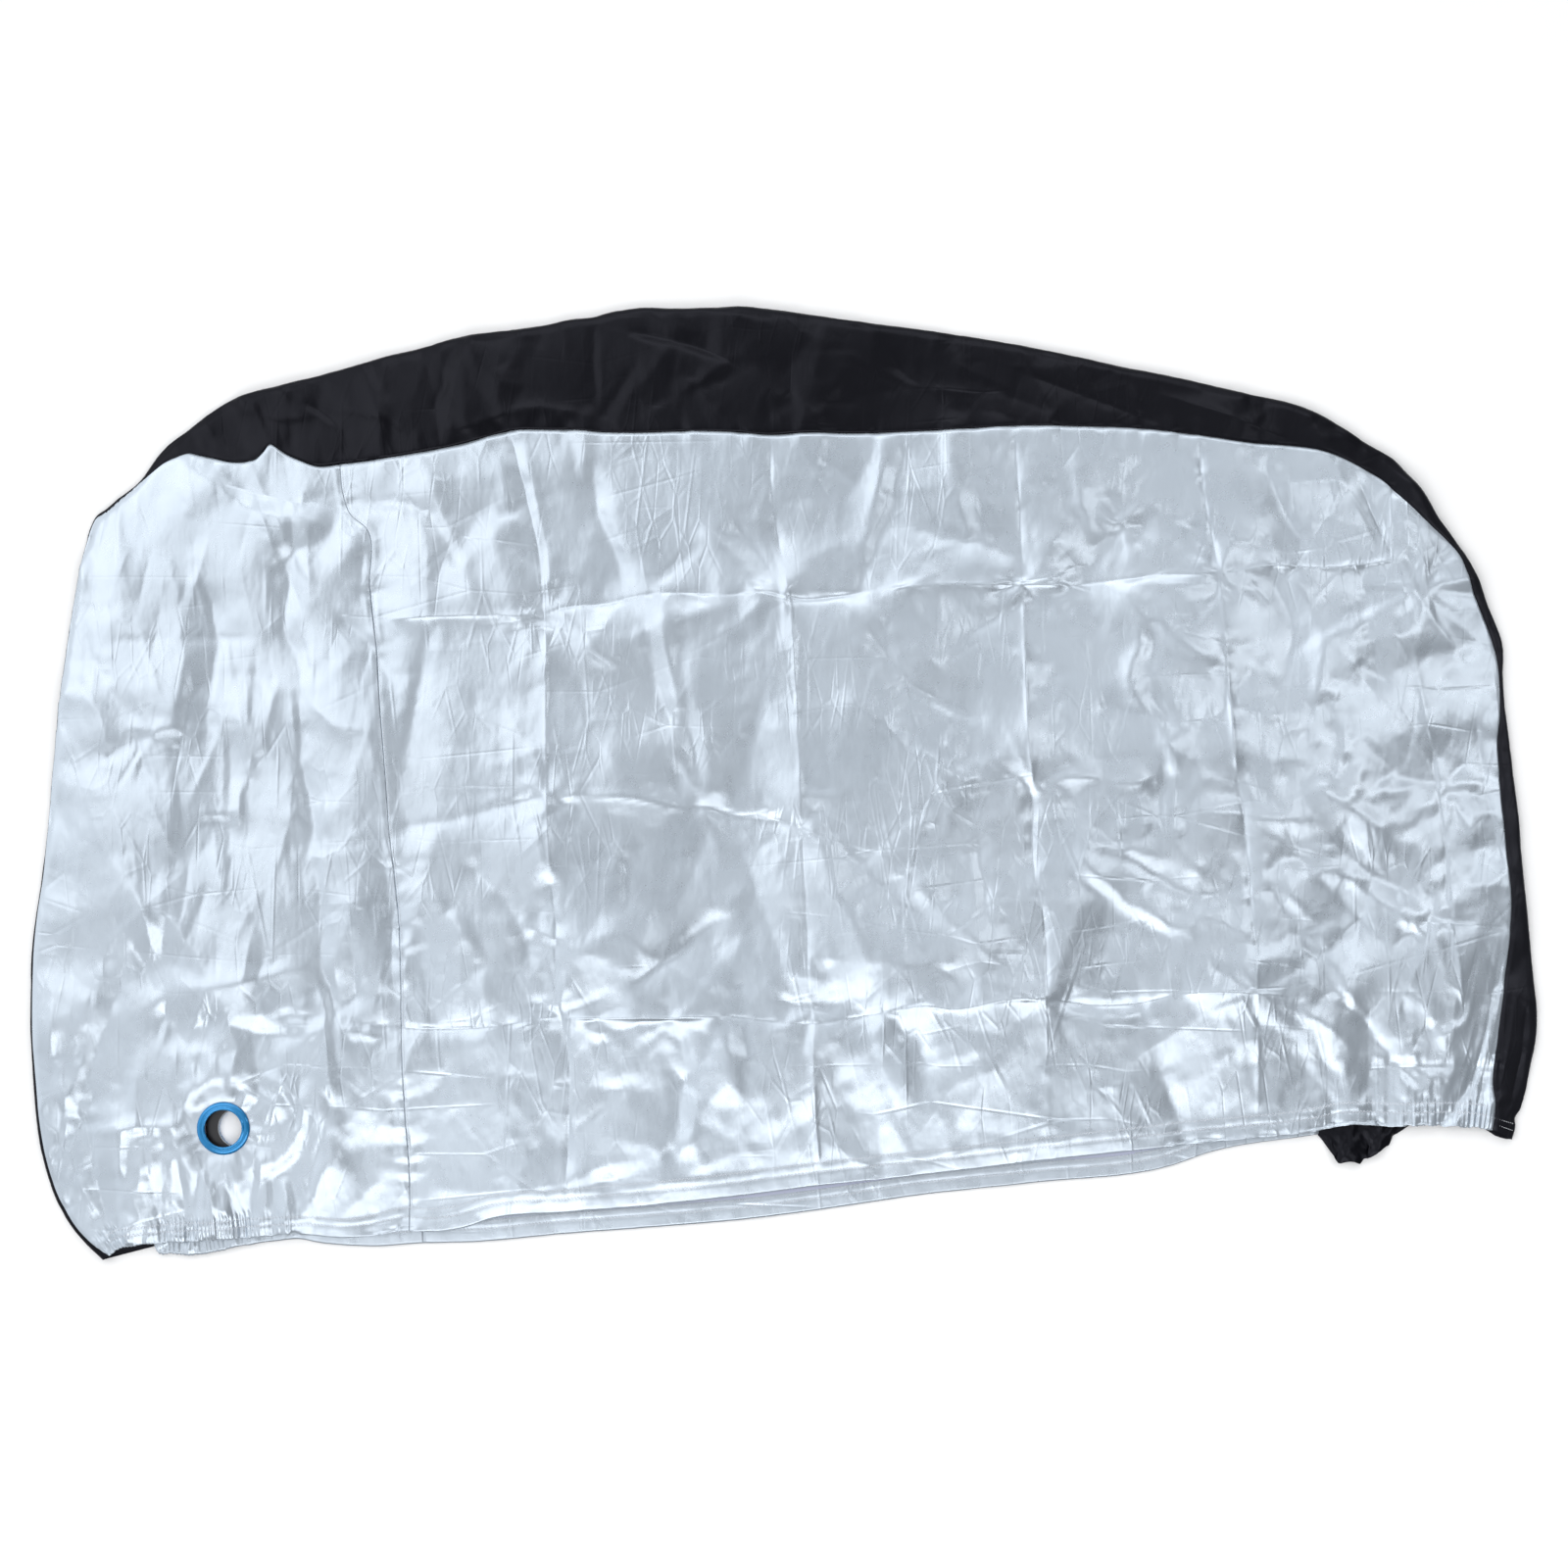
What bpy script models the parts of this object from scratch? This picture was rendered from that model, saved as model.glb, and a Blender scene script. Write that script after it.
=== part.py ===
"""Bicycle cover, empty and laid flat on its side.

Two silver cloth sides, each a front panel and a main panel sewn together, are
joined by a black cloth strip that runs from the front hem end over the top to
the rear hem end. Laid flat, the strip folds round the outline: one flap shows
on top, the other lies on the ground under the cover. The hem is open, and the
lock eyelets of the two sides lie one over the other.

Sizes are in millimetres here and go out in metres. X runs along the cover from
the front end to the rear end, Y from the hem to the top, Z up from the ground.
The origin is under the middle of the outline, on the ground.
"""
import math

import bmesh
import bpy
import numpy as np
from mathutils import Vector

# ---------------------------------------------------------------- main sizes
MM = 0.001
CLOTH = 1.5            # cloth with its coating and seam allowance
GAP = 0.4              # between two pieces sewn edge to edge
FLOOR_MID = CLOTH / 2  # middle of a cloth that lies on the ground

RIM_HEIGHT = 13.0      # upper cloth just inside the folded outline
HEM_HEIGHT = 13.6      # upper cloth at its open hem
CROWN_HEIGHT = 19.5    # upper cloth over the air in the middle
RIM_RUN = 75.0         # how far in from the outline the cloth rises
HEM_RUN = 240.0        # how far up from the hem it rises
FOLD_REACH = 6.5       # half width of the rounded fold at the outline

EYELET_OUTER = 35.0    # flange radius
EYELET_NECK = 27.0     # neck that passes through the cloth
EYELET_HOLE = 24.5     # clear hole radius
EYELET_SIDES = 24
SEAT_FLAT = 63.0       # cloth is level this far round an eyelet
SEAT_END = 97.0        # and back on its own shape here

# (name, x, y, cloth middle height, face): face 1 has its rounded flange up
EYELETS = [
    ("eyelet_near", -743.0, -457.0, 14.5, 1),
    ("eyelet_far", -726.0, -457.0, 4.3, -1),
]

# Sections across the black strip, from the front hem end round the outline to
# the rear hem end: outer fold, seam to the upper side, seam to the lower side.
SECTION_COLUMNS = ("name", "fold_x", "fold_y", "near_x", "near_y", "far_x", "far_y")
SECTIONS = [
    ("front hem", -905, -633, -896, -627, -836, -615),
    ("", -944, -593, -937, -589, -846, -567),
    ("", -983, -495, -976, -492, -836, -495),
    ("", -995, -404, -988, -404, -818, -410),
    ("", -1000, -313, -994, -313, -798, -326),
    ("", -997, -221, -991, -221, -782, -221),
    ("", -984, -111, -978, -111, -756, -111),
    ("", -973, 0, -967, 0, -732, 0),
    ("", -962, 111, -956, 111, -700, 117),
    ("", -950, 202, -944, 202, -674, 189),
    ("", -935, 293, -929, 291, -640, 237),
    ("front corner", -907, 360, -901, 356, -612, 261),
    ("", -855, 404, -851, 397, -579, 271),
    ("", -810, 456, -807, 433, -547, 279),
    ("", -752, 499, -752, 431, -520, 285),
    ("far panel seam", -674, 529, -670, 439, -488, 293),
    ("near panel seam", -583, 552, -588, 423, -442, 306),
    ("", -494, 577, -514, 433, -384, 323),
    ("strip seam", -419, 595, -454, 444, -332, 339),
    ("", -345, 606, -358, 468, -286, 356),
    ("", -260, 618, -260, 468, -221, 380),
    ("", -182, 633, -182, 465, -162, 399),
    ("", -97, 633, -97, 466, -97, 409),
    ("", 1, 628, 1, 463, 1, 404),
    ("", 131, 611, 131, 465, 118, 384),
    ("", 274, 590, 274, 473, 242, 352),
    ("", 405, 564, 398, 474, 352, 318),
    ("", 548, 534, 528, 465, 470, 276),
    ("", 686, 502, 652, 448, 561, 232),
    ("rear corner", 776, 452, 754, 425, 616, 193),
    ("", 842, 395, 815, 384, 652, 143),
    ("", 910, 294, 891, 309, 678, 78),
    ("", 951, 195, 939, 195, 689, 13),
    ("", 966, 52, 951, 52, 699, -65),
    ("", 978, -42, 956, -39, 707, -130),
    ("", 988, -156, 966, -150, 717, -208),
    ("", 999, -261, 958, -261, 728, -287),
    ("", 997, -358, 947, -358, 730, -371),
    ("rear hem", 971, -466, 941, -459, 712, -466),
]
# how many steps each stretch of the outline is made in
STRETCHES = [
    ("front hem", "front corner", 18),
    ("front corner", "far panel seam", 4),
    ("far panel seam", "near panel seam", 2),
    ("near panel seam", "strip seam", 3),
    ("strip seam", "rear corner", 30),
    ("rear corner", "rear hem", 18),
]

# Hem edges and the two panel seams: (x, y)
NEAR_HEM = [(-896, -627), (-833, -610), (-651, -599), (-497, -593), (-312, -571),
            (-46, -545), (182, -519), (418, -491), (707, -461), (835, -455), (941, -459)]
FAR_HEM = [(-836, -615), (-775, -625), (-651, -607), (-480, -611), (-295, -599),
           (-46, -580), (182, -549), (418, -521), (558, -495), (712, -466)]
NEAR_SEAM = [(-497, -593), (-506, -365), (-509, -208), (-524, -52), (-539, 156),
             (-562, 345), (-588, 423)]
FAR_SEAM = [(-480, -611), (-487, -365), (-488, -100), (-488, 150), (-488, 293)]

# Main folds of the upper cloth: a soft ridge (height above 0) or trough
FOLD_COLUMNS = ("name", "x0", "y0", "x1", "y1", "height", "half_width")
FOLDS = [
    ("first long fold, top", -358, 460, -314, 220, 4.5, 30),
    ("first long fold, low", -314, 220, -288, -540, 3.0, 28),
    ("second long fold, top", -16, 460, 14, 120, -3.5, 30),
    ("second long fold, low", 14, 120, 46, -480, 3.5, 30),
    ("third long fold", 307, 460, 347, -300, 3.0, 28),
    ("fourth long fold", 552, 450, 627, -450, 3.5, 30),
    ("fifth long fold", 760, 400, 897, -300, 4.0, 30),
    ("upper cross fold, left", -518, 222, -148, 252, 2.5, 26),
    ("upper cross fold, right", -148, 252, 817, 290, 2.5, 26),
    ("middle cross fold, left", -898, 75, -534, 70, 2.0, 26),
    ("middle cross fold, right", -518, -60, 512, 8, -2.5, 28),
    ("lower cross fold", -598, -320, 662, -282, 3.0, 28),
    ("front corner billow", -798, 390, -578, 300, 5.0, 45),
    ("front side fold", -898, 210, -818, -230, 3.5, 34),
    ("inner front fold", -648, 260, -588, -480, -3.0, 30),
    ("centre pleat, left", -198, 240, -176, -10, 4.0, 24),
    ("centre pleat, right", -90, 240, -108, -20, 3.5, 24),
    ("rear slant fold", 692, -30, 882, -180, 2.5, 28),
]
# Slow swell of the upper cloth: (waves along x, waves along y, height)
SWELL = [(2.0, 0.6, 0.9), (-1.1, 1.6, 0.8), (3.1, -1.3, 0.7)]

# Rear hem end of the strip's lower flap, bunched below the hem: how far along
# the flap from the fold, how far it drops past the hem line, how high it stands
BUNCH_COLUMNS = ("along", "drop", "rise")
BUNCH = [
    (0.60, 0.0, 0.0),
    (0.68, 21.0, 6.5),
    (0.76, 34.0, 3.0),
    (0.84, 37.0, 8.0),
    (0.92, 33.0, 3.5),
    (1.00, 4.0, 0.0),
]
BUNCH_BACK = 0.45      # share of the rise that the next section still has

# (node, kind, colour, roughness, metallic)
FINISH = {
    "silver": ((0.62, 0.65, 0.70, 1.0), 0.36, 0.75),
    "black": ((0.012, 0.012, 0.016, 1.0), 0.48, 0.0),
    "blue": ((0.010, 0.200, 0.420, 1.0), 0.18, 0.2),
}


# ------------------------------------------------------------------- curves
def smooth(at, knots, values):
    """Smooth curve through values at the knots, read at the places in at."""
    knots, values, at = (np.asarray(v, float) for v in (knots, values, at))
    step = np.diff(knots)
    rise = np.diff(values) / step
    slope = np.empty_like(values)
    slope[0], slope[-1] = rise[0], rise[-1]
    slope[1:-1] = (rise[:-1] * step[1:] + rise[1:] * step[:-1]) / (step[1:] + step[:-1])
    i = np.clip(np.searchsorted(knots, at, side="right") - 1, 0, len(step) - 1)
    f = (at - knots[i]) / step[i]
    return ((2 * f**3 - 3 * f**2 + 1) * values[i] + (f**3 - 2 * f**2 + f) * step[i] * slope[i]
            + (3 * f**2 - 2 * f**3) * values[i + 1] + (f**3 - f**2) * step[i] * slope[i + 1])


def length_along(points):
    return np.concatenate([[0.0], np.cumsum(np.hypot(*np.diff(points, axis=0).T))])


def curve(points, count):
    """count + 1 points, evenly spaced on the smooth curve through points."""
    points = np.asarray(points, float)
    knots = length_along(points)
    fine = np.linspace(0, knots[-1], 400)
    line = np.stack([smooth(fine, knots, points[:, k]) for k in (0, 1)], 1)
    run = length_along(line)
    at = np.interp(np.linspace(0, run[-1], count + 1), run, fine)
    return np.stack([smooth(at, knots, points[:, k]) for k in (0, 1)], 1)


def outline():
    """Places along the strip, its three lines there, and each name's index."""
    table = np.array([row[1:] for row in SECTIONS], float)
    names = {row[0]: i for i, row in enumerate(SECTIONS) if row[0]}
    knots = length_along(table[:, :2])
    at, mark = [knots[names[STRETCHES[0][0]]]], {STRETCHES[0][0]: 0}
    for start, end, steps in STRETCHES:
        a, b = knots[names[start]], knots[names[end]]
        at += list(a + (b - a) * np.arange(1, steps + 1) / steps)
        mark[end] = len(at) - 1
    lines = [np.stack([smooth(at, knots, table[:, 2 * k + c]) for c in (0, 1)], 1)
             for k in range(3)]
    fine = np.linspace(0, knots[-1], 900)
    rim = np.stack([smooth(fine, knots, table[:, c]) for c in (0, 1)], 1)
    return lines, mark, rim


def away(points, line):
    """Distance from each point to the line."""
    a, b = line[:-1], line[1:]
    d = b - a
    best = np.full(points.shape[:-1], 1e9)
    for i in range(len(a)):
        w = points - a[i]
        f = np.clip((w @ d[i]) / max(d[i] @ d[i], 1e-9), 0, 1)
        best = np.minimum(best, np.linalg.norm(w - f[..., None] * d[i], axis=-1))
    return best


def ease(f):
    f = np.clip(f, 0, 1)
    return f * f * (3 - 2 * f)


# ------------------------------------------------------------------ heights
def seat(points, height, which):
    """Level the height round an eyelet."""
    for name, x, y, level, _ in EYELETS:
        if name == which:
            r = np.hypot(points[..., 0] - x, points[..., 1] - y)
            height = level + (height - level) * ease((r - SEAT_FLAT) / (SEAT_END - SEAT_FLAT))
    return height


def upper(points, rim, hem):
    """Height of the middle of the upper cloth over each (x, y)."""
    in_from_rim = away(points, rim)
    up_from_hem = away(points, hem)
    crown = HEM_HEIGHT + (CROWN_HEIGHT - HEM_HEIGHT) * ease(up_from_hem / HEM_RUN)
    height = RIM_HEIGHT + (crown - RIM_HEIGHT) * (1 - np.exp(-in_from_rim / RIM_RUN))
    extra = np.zeros_like(height)
    for _, x0, y0, x1, y1, tall, wide in FOLDS:
        a, b = np.array([x0, y0], float), np.array([x1, y1], float)
        d = b - a
        f = ((points - a) @ d) / (d @ d)
        off = np.linalg.norm(points - a - np.clip(f, 0, 1)[..., None] * d, axis=-1)
        extra += tall * np.exp(-((off / wide) ** 2))
    for along, up, tall in SWELL:
        extra += tall * np.sin(2 * math.pi * (along * points[..., 0] + up * points[..., 1]) / 1000)
    height = height + extra * (1 - np.exp(-in_from_rim / 40)) * (0.35 + 0.65 * ease(up_from_hem / 120))
    return seat(points, height, "eyelet_near")


def lower(points):
    """Height of the middle of the lower cloth, which lies on the ground."""
    return seat(points, np.full(points.shape[:-1], FLOOR_MID), "eyelet_far")


# ------------------------------------------------------------------- meshes
def patch(bottom, top, left, right):
    """Fill four edges with a grid: rows from bottom to top, columns from left to right."""
    rows, cols = len(left), len(bottom)
    s = np.linspace(0, 1, cols)[None, :, None]
    t = np.linspace(0, 1, rows)[:, None, None]
    return ((1 - t) * bottom[None] + t * top[None] + (1 - s) * left[:, None] + s * right[:, None]
            - (1 - t) * (1 - s) * bottom[0] - (1 - t) * s * bottom[-1]
            - t * (1 - s) * top[0] - t * s * top[-1])


def inset(grid, by, edges):
    """Draw the named edges of a grid in towards its middle."""
    out = grid.copy()
    for edge in edges:
        a, b = {"low": ((0,), (1,)), "high": ((-1,), (-2,)),
                "left": ((slice(None), 0), (slice(None), 1)),
                "right": ((slice(None), -1), (slice(None), -2))}[edge]
        way = grid[b] - grid[a]
        out[a] += by * way / np.maximum(np.linalg.norm(way, axis=-1, keepdims=True), 1e-9)
    return out


def paint(name, kind):
    material = bpy.data.materials.new(name + "_material")
    material.use_nodes = True
    colour, rough, metal = FINISH[kind]
    shader = material.node_tree.nodes["Principled BSDF"]
    shader.inputs["Base Color"].default_value = colour
    shader.inputs["Roughness"].default_value = rough
    shader.inputs["Metallic"].default_value = metal
    return material


def sheet(name, kind, grid, height, finer=None):
    """One cloth piece: a grid laid on (x, y), lifted to its height, given its thickness."""
    rows, cols = grid.shape[:2]
    bpy.ops.mesh.primitive_grid_add(x_subdivisions=cols - 1, y_subdivisions=rows - 1, size=1)
    piece = bpy.context.object
    piece.name = piece.data.name = name
    flat = grid.reshape(-1, grid.shape[-1])
    for vertex, place in zip(piece.data.vertices, flat):
        vertex.co = [c * MM for c in place] if len(place) == 3 else (place[0] * MM, place[1] * MM, 0)
    if finer is not None:
        centre, reach, cuts = finer
        mesh = bmesh.new()
        mesh.from_mesh(piece.data)
        near = [f for f in mesh.faces
                if (f.calc_center_median().xy - centre).length < reach]
        edges = {e for f in near for e in f.edges}
        bmesh.ops.subdivide_edges(mesh, edges=sorted(edges, key=lambda e: e.index),
                                  cuts=cuts, use_grid_fill=True)
        bmesh.ops.triangulate(mesh, faces=[f for f in mesh.faces if len(f.verts) > 4])
        mesh.to_mesh(piece.data)
        mesh.free()
    if height is not None:
        places = np.array([v.co[:] for v in piece.data.vertices])[:, :2] / MM
        for vertex, up in zip(piece.data.vertices, height(places)):
            vertex.co.z = up * MM
    piece.data.materials.append(paint(name, kind))
    thick = piece.modifiers.new("cloth thickness", "SOLIDIFY")
    thick.thickness = CLOTH * MM
    thick.offset = 0
    piece.data.shade_smooth()
    move(piece, cover)
    return piece


def move(piece, collection):
    for old in list(piece.users_collection):
        old.objects.unlink(piece)
    collection.objects.link(piece)


def punch(piece, x, y):
    """Cut the round hole that the eyelet's neck passes through."""
    bpy.ops.mesh.primitive_cylinder_add(vertices=EYELET_SIDES, radius=(EYELET_NECK + 0.4) * MM,
                                        depth=0.08, location=(x * MM, y * MM, 0.01))
    cutter = bpy.context.object
    cutter.name = piece.name + "_hole"
    cutter.hide_render = True
    cutter.display_type = "WIRE"
    move(cutter, cutters)
    cut = piece.modifiers.new("eyelet hole", "BOOLEAN")
    cut.operation = "DIFFERENCE"
    cut.solver = "EXACT"
    cut.object = cutter


def eyelet(name, x, y, level, face):
    """A turned ring: rounded outer flange, neck through the cloth, flat inner flange."""
    grip = CLOTH / 2 + 0.3
    profile = [(26.2, 4.0), (30.0, 4.2), (33.5, 3.4), (EYELET_OUTER, 1.9), (EYELET_OUTER, grip),
               (EYELET_NECK, grip), (EYELET_NECK, -grip), (EYELET_OUTER, -grip),
               (EYELET_OUTER - 0.6, -2.1), (33.5, -2.5), (26.0, -2.5),
               (EYELET_HOLE, -1.6), (EYELET_HOLE, 2.6)]
    mesh = bmesh.new()
    points = [mesh.verts.new((r * MM, 0, z * MM)) for r, z in profile]
    for a, b in zip(points, points[1:] + points[:1]):
        mesh.edges.new((a, b))
    data = bpy.data.meshes.new(name)
    mesh.to_mesh(data)
    mesh.free()
    ring = bpy.data.objects.new(name, data)
    cover.objects.link(ring)
    turn = ring.modifiers.new("turned", "SCREW")
    turn.angle = 2 * math.pi
    turn.steps = turn.render_steps = EYELET_SIDES
    turn.use_merge_vertices = True
    turn.merge_threshold = 0.0001
    turn.use_normal_calculate = True
    ring.location = (x * MM, y * MM, level * MM)
    if face < 0:
        ring.rotation_euler = (math.pi, 0, 0)
    data.materials.append(paint(name, "blue"))
    return ring


def strip(near, fold, far, rim, hem, start, end, ends):
    """Sections of the black strip: top flap, rounded fold, lower flap."""
    flap_in = np.array([0.0, 0.33, 0.67, 1.0])
    fold_turn = np.radians([45.0, 0.0, -45.0, -90.0])
    flap_out = np.array([0.30] + [row[0] for row in BUNCH])
    sections = []
    for i in range(start, end + 1):
        n, s, f = near[i], fold[i], far[i]
        inward = (n - s) / np.linalg.norm(n - s)
        deep = (f - s) / np.linalg.norm(f - s)
        s_mid = s + inward * CLOTH / 2
        reach = min(FOLD_REACH, 0.85 * np.linalg.norm(n - s_mid))
        start_in = s_mid + inward * reach
        flap = n + (start_in - n) * flap_in[:, None]
        top = upper(flap, rim, hem)
        middle, half = (top[-1] + FLOOR_MID) / 2, (top[-1] - FLOOR_MID) / 2
        section = [(p[0], p[1], z) for p, z in zip(flap, top)]
        for turn in fold_turn:
            way = inward if turn > 0 else (inward if turn == 0 else deep)
            p = s_mid + way * reach * (1 - math.cos(turn))
            section.append((p[0], p[1], middle + half * math.sin(turn)))
        begin = s_mid + deep * reach
        last = i == len(near) - 1
        before = i == len(near) - 2
        for share in flap_out:
            p = begin + (f - begin) * share
            drop = rise = 0.0
            if last or before:
                rise = float(np.interp(share, [r[0] for r in BUNCH], [r[2] for r in BUNCH]))
                drop = float(np.interp(share, [r[0] for r in BUNCH], [r[1] for r in BUNCH]))
                if before:
                    rise, drop = rise * BUNCH_BACK, 0.0
            section.append((p[0], p[1] - drop, FLOOR_MID + rise))
        sections.append(section)
    grid = np.array(sections).transpose(1, 0, 2)
    grid = grid[::-1]
    return inset(inset(grid, GAP / 2, ("low", "high")), GAP / 2, ends)


# -------------------------------------------------------------------- build
for old in list(bpy.data.objects):
    bpy.data.objects.remove(old, do_unlink=True)

cover = bpy.data.collections.new("bicycle_cover")
bpy.context.scene.collection.children.link(cover)
cutters = bpy.data.collections.new("cutters")
bpy.context.scene.collection.children.link(cutters)

(fold, near, far), mark, rim = outline()
side_steps = STRETCHES[0][2]
corner, far_split, near_split, strip_split, rear, last = (
    mark[name] for name in ("front corner", "far panel seam", "near panel seam",
                            "strip seam", "rear corner", "rear hem"))
hem_line = curve(NEAR_HEM, 200)


def hem_parts(points, split, left_cols, right_cols):
    """A hem edge in two parts, left and right of the panel seam's foot."""
    at = next(i for i, p in enumerate(points) if p == split)
    return curve(points[:at + 1], left_cols), curve(points[at:], right_cols)


near_left, near_right = hem_parts(NEAR_HEM, NEAR_SEAM[0], near_split - corner, rear - near_split)
far_left, far_right = hem_parts(FAR_HEM, FAR_SEAM[0], far_split - corner, rear - far_split)
near_seam = curve(NEAR_SEAM, side_steps)
far_seam = curve(FAR_SEAM, side_steps)


def over(points):
    return upper(points, rim, hem_line)


panels = [
    ("panel_near_front", near_left, near[corner:near_split + 1], near[:corner + 1], near_seam, over, (0, 2)),
    ("panel_near_main", near_right, near[near_split:rear + 1], near_seam, near[rear:][::-1], over, None),
    ("panel_far_front", far_left, far[corner:far_split + 1], far[:corner + 1], far_seam, lower, (1, 3)),
    ("panel_far_main", far_right, far[far_split:rear + 1], far_seam, far[rear:][::-1], lower, None),
]
for name, bottom, top, left, right, height, ring in panels:
    grid = inset(patch(bottom, top, left, right), GAP / 2, ("high", "left", "right"))
    finer = None
    if ring is not None:
        _, ring_x, ring_y, _, _ = EYELETS[ring[0]]
        finer = (Vector((ring_x, ring_y)) * MM, SEAT_END * MM, ring[1])
    piece = sheet(name, "silver", grid, height, finer)
    if ring is not None:
        punch(piece, ring_x, ring_y)

for name, start, end, ends in (("gusset_front", 0, strip_split, ("right",)),
                               ("gusset_main", strip_split, last, ("left",))):
    sheet(name, "black", strip(near, fold, far, rim, hem_line, start, end, ends), None)

for row in EYELETS:
    eyelet(*row)
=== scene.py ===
"""Bicycle cover, empty and laid flat on its side, seen from straight above.

The cloth is worked out as one height field: the folds of the solids, the main
creases listed in tables, and then a relaxation in which a cloth of fixed length
settles and buckles to take up its spare length. Sizes are in millimetres up to
the meshes, which are in metres.
"""
import math

import bpy
import numpy as np
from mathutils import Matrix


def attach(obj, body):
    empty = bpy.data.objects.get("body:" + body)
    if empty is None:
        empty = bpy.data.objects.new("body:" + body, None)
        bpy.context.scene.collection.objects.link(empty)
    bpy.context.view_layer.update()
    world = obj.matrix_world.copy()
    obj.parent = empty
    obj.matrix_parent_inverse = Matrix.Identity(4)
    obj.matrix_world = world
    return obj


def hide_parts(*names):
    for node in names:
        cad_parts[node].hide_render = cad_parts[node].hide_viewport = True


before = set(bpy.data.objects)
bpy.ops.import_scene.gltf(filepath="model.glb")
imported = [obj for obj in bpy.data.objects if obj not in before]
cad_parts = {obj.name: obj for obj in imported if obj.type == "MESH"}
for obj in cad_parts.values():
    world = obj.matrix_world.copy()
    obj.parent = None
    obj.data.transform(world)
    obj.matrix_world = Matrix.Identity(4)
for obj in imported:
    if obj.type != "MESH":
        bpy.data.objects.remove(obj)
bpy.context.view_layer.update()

PX = 1.3029            # mm on the ground for one step of the tables' places

# Tables of places read along the cover's lines, in steps of the frame's
# 1600 x 1600: outer fold, seam of the near side to the strip, near hem.

RIM = [
    (105,1286), (90,1272), (75,1255), (65,1240), (56,1223), (48,1200), (43,1180), (37,1145), (34,1110), (32,1075),
    (31,1040), (31,1005), (32,970), (37,930), (43,890), (48,850), (52,805), (56,765), (61,715), (66,675), (71,640),
    (78,600), (86,560), (92,537), (98,526), (107,520), (121,508), (133,499), (143,490), (152,478), (162,464),
    (175,451), (190,440), (205,428), (222,416), (238,407), (254,401), (282,394), (318,385), (352,376), (400,362),
    (430,355), (460,346), (478,342), (500,339), (535,335), (560,331), (582,326), (602,324), (630,317), (655,314),
    (690,315), (725,314), (763,313), (792,316), (820,320), (855,325), (900,331), (940,336), (1000,345), (1040,352),
    (1090,362), (1150,375), (1210,387), (1274,402), (1326,414), (1349,424), (1372,438), (1400,456), (1423,470),
    (1436,484), (1450,499), (1470,532), (1480,545), (1498,571), (1509,592), (1518,617), (1527,638), (1533,655),
    (1534,690), (1536,720), (1541,760), (1545,795), (1550,835), (1553,875), (1557,915), (1560,945), (1563,975),
    (1566,1005), (1569,1040), (1567,1065), (1562,1090), (1557,1115), (1552,1132), (1546,1142), (1547,1148),
    (1543,1163),
]
NEAR = [
    (112,1281), (96,1270), (79,1253), (69,1238), (60,1221), (52,1198), (47,1178), (41,1143), (38,1108), (35,1073),
    (34,1038), (34,1005), (35,970), (39,930), (45,890), (49,850), (53,805), (57,765), (62,715), (67,675), (72,640),
    (79,600), (87,560), (93,539), (99,528), (108,524), (122,512), (134,502), (144,493), (158,481), (170,472),
    (181,467), (193,463), (204,465), (222,469), (235,472), (250,472), (262,469), (270,462), (277,454), (284,458),
    (293,464), (306,470), (323,476), (350,474), (378,471), (405,467), (430,463), (451,459), (485,451), (512,443),
    (530,440), (561,440), (590,440), (612,442), (645,443), (680,442), (714,441), (745,442), (786,445), (820,443),
    (870,443), (930,441), (987,438), (1044,435), (1102,436), (1159,438), (1205,443), (1240,448), (1274,453),
    (1300,455), (1325,457), (1343,460), (1360,465), (1378,473), (1392,481), (1406,489), (1423,504), (1440,520),
    (1458,537), (1475,552), (1487,565), (1496,585), (1503,606), (1512,628), (1521,650), (1527,672), (1530,700),
    (1530,730), (1528,757), (1530,790), (1532,820), (1535,850), (1538,882), (1541,915), (1541,940), (1539,964),
    (1536,992), (1533,1020), (1530,1040), (1527,1065), (1524,1085), (1523,1105), (1525,1125), (1522,1152),
]
HEM = [
    (112,1281), (126,1272), (141,1270), (160,1268), (230,1264), (308,1259), (352,1262), (382,1260), (418,1255),
    (431,1256), (480,1250), (494,1245), (580,1236), (669,1228), (764,1218), (828,1210), (939,1198), (1051,1185),
    (1200,1169), (1228,1166), (1342,1154), (1374,1148), (1419,1149), (1467,1148), (1499,1149), (1522,1152),
]
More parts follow.
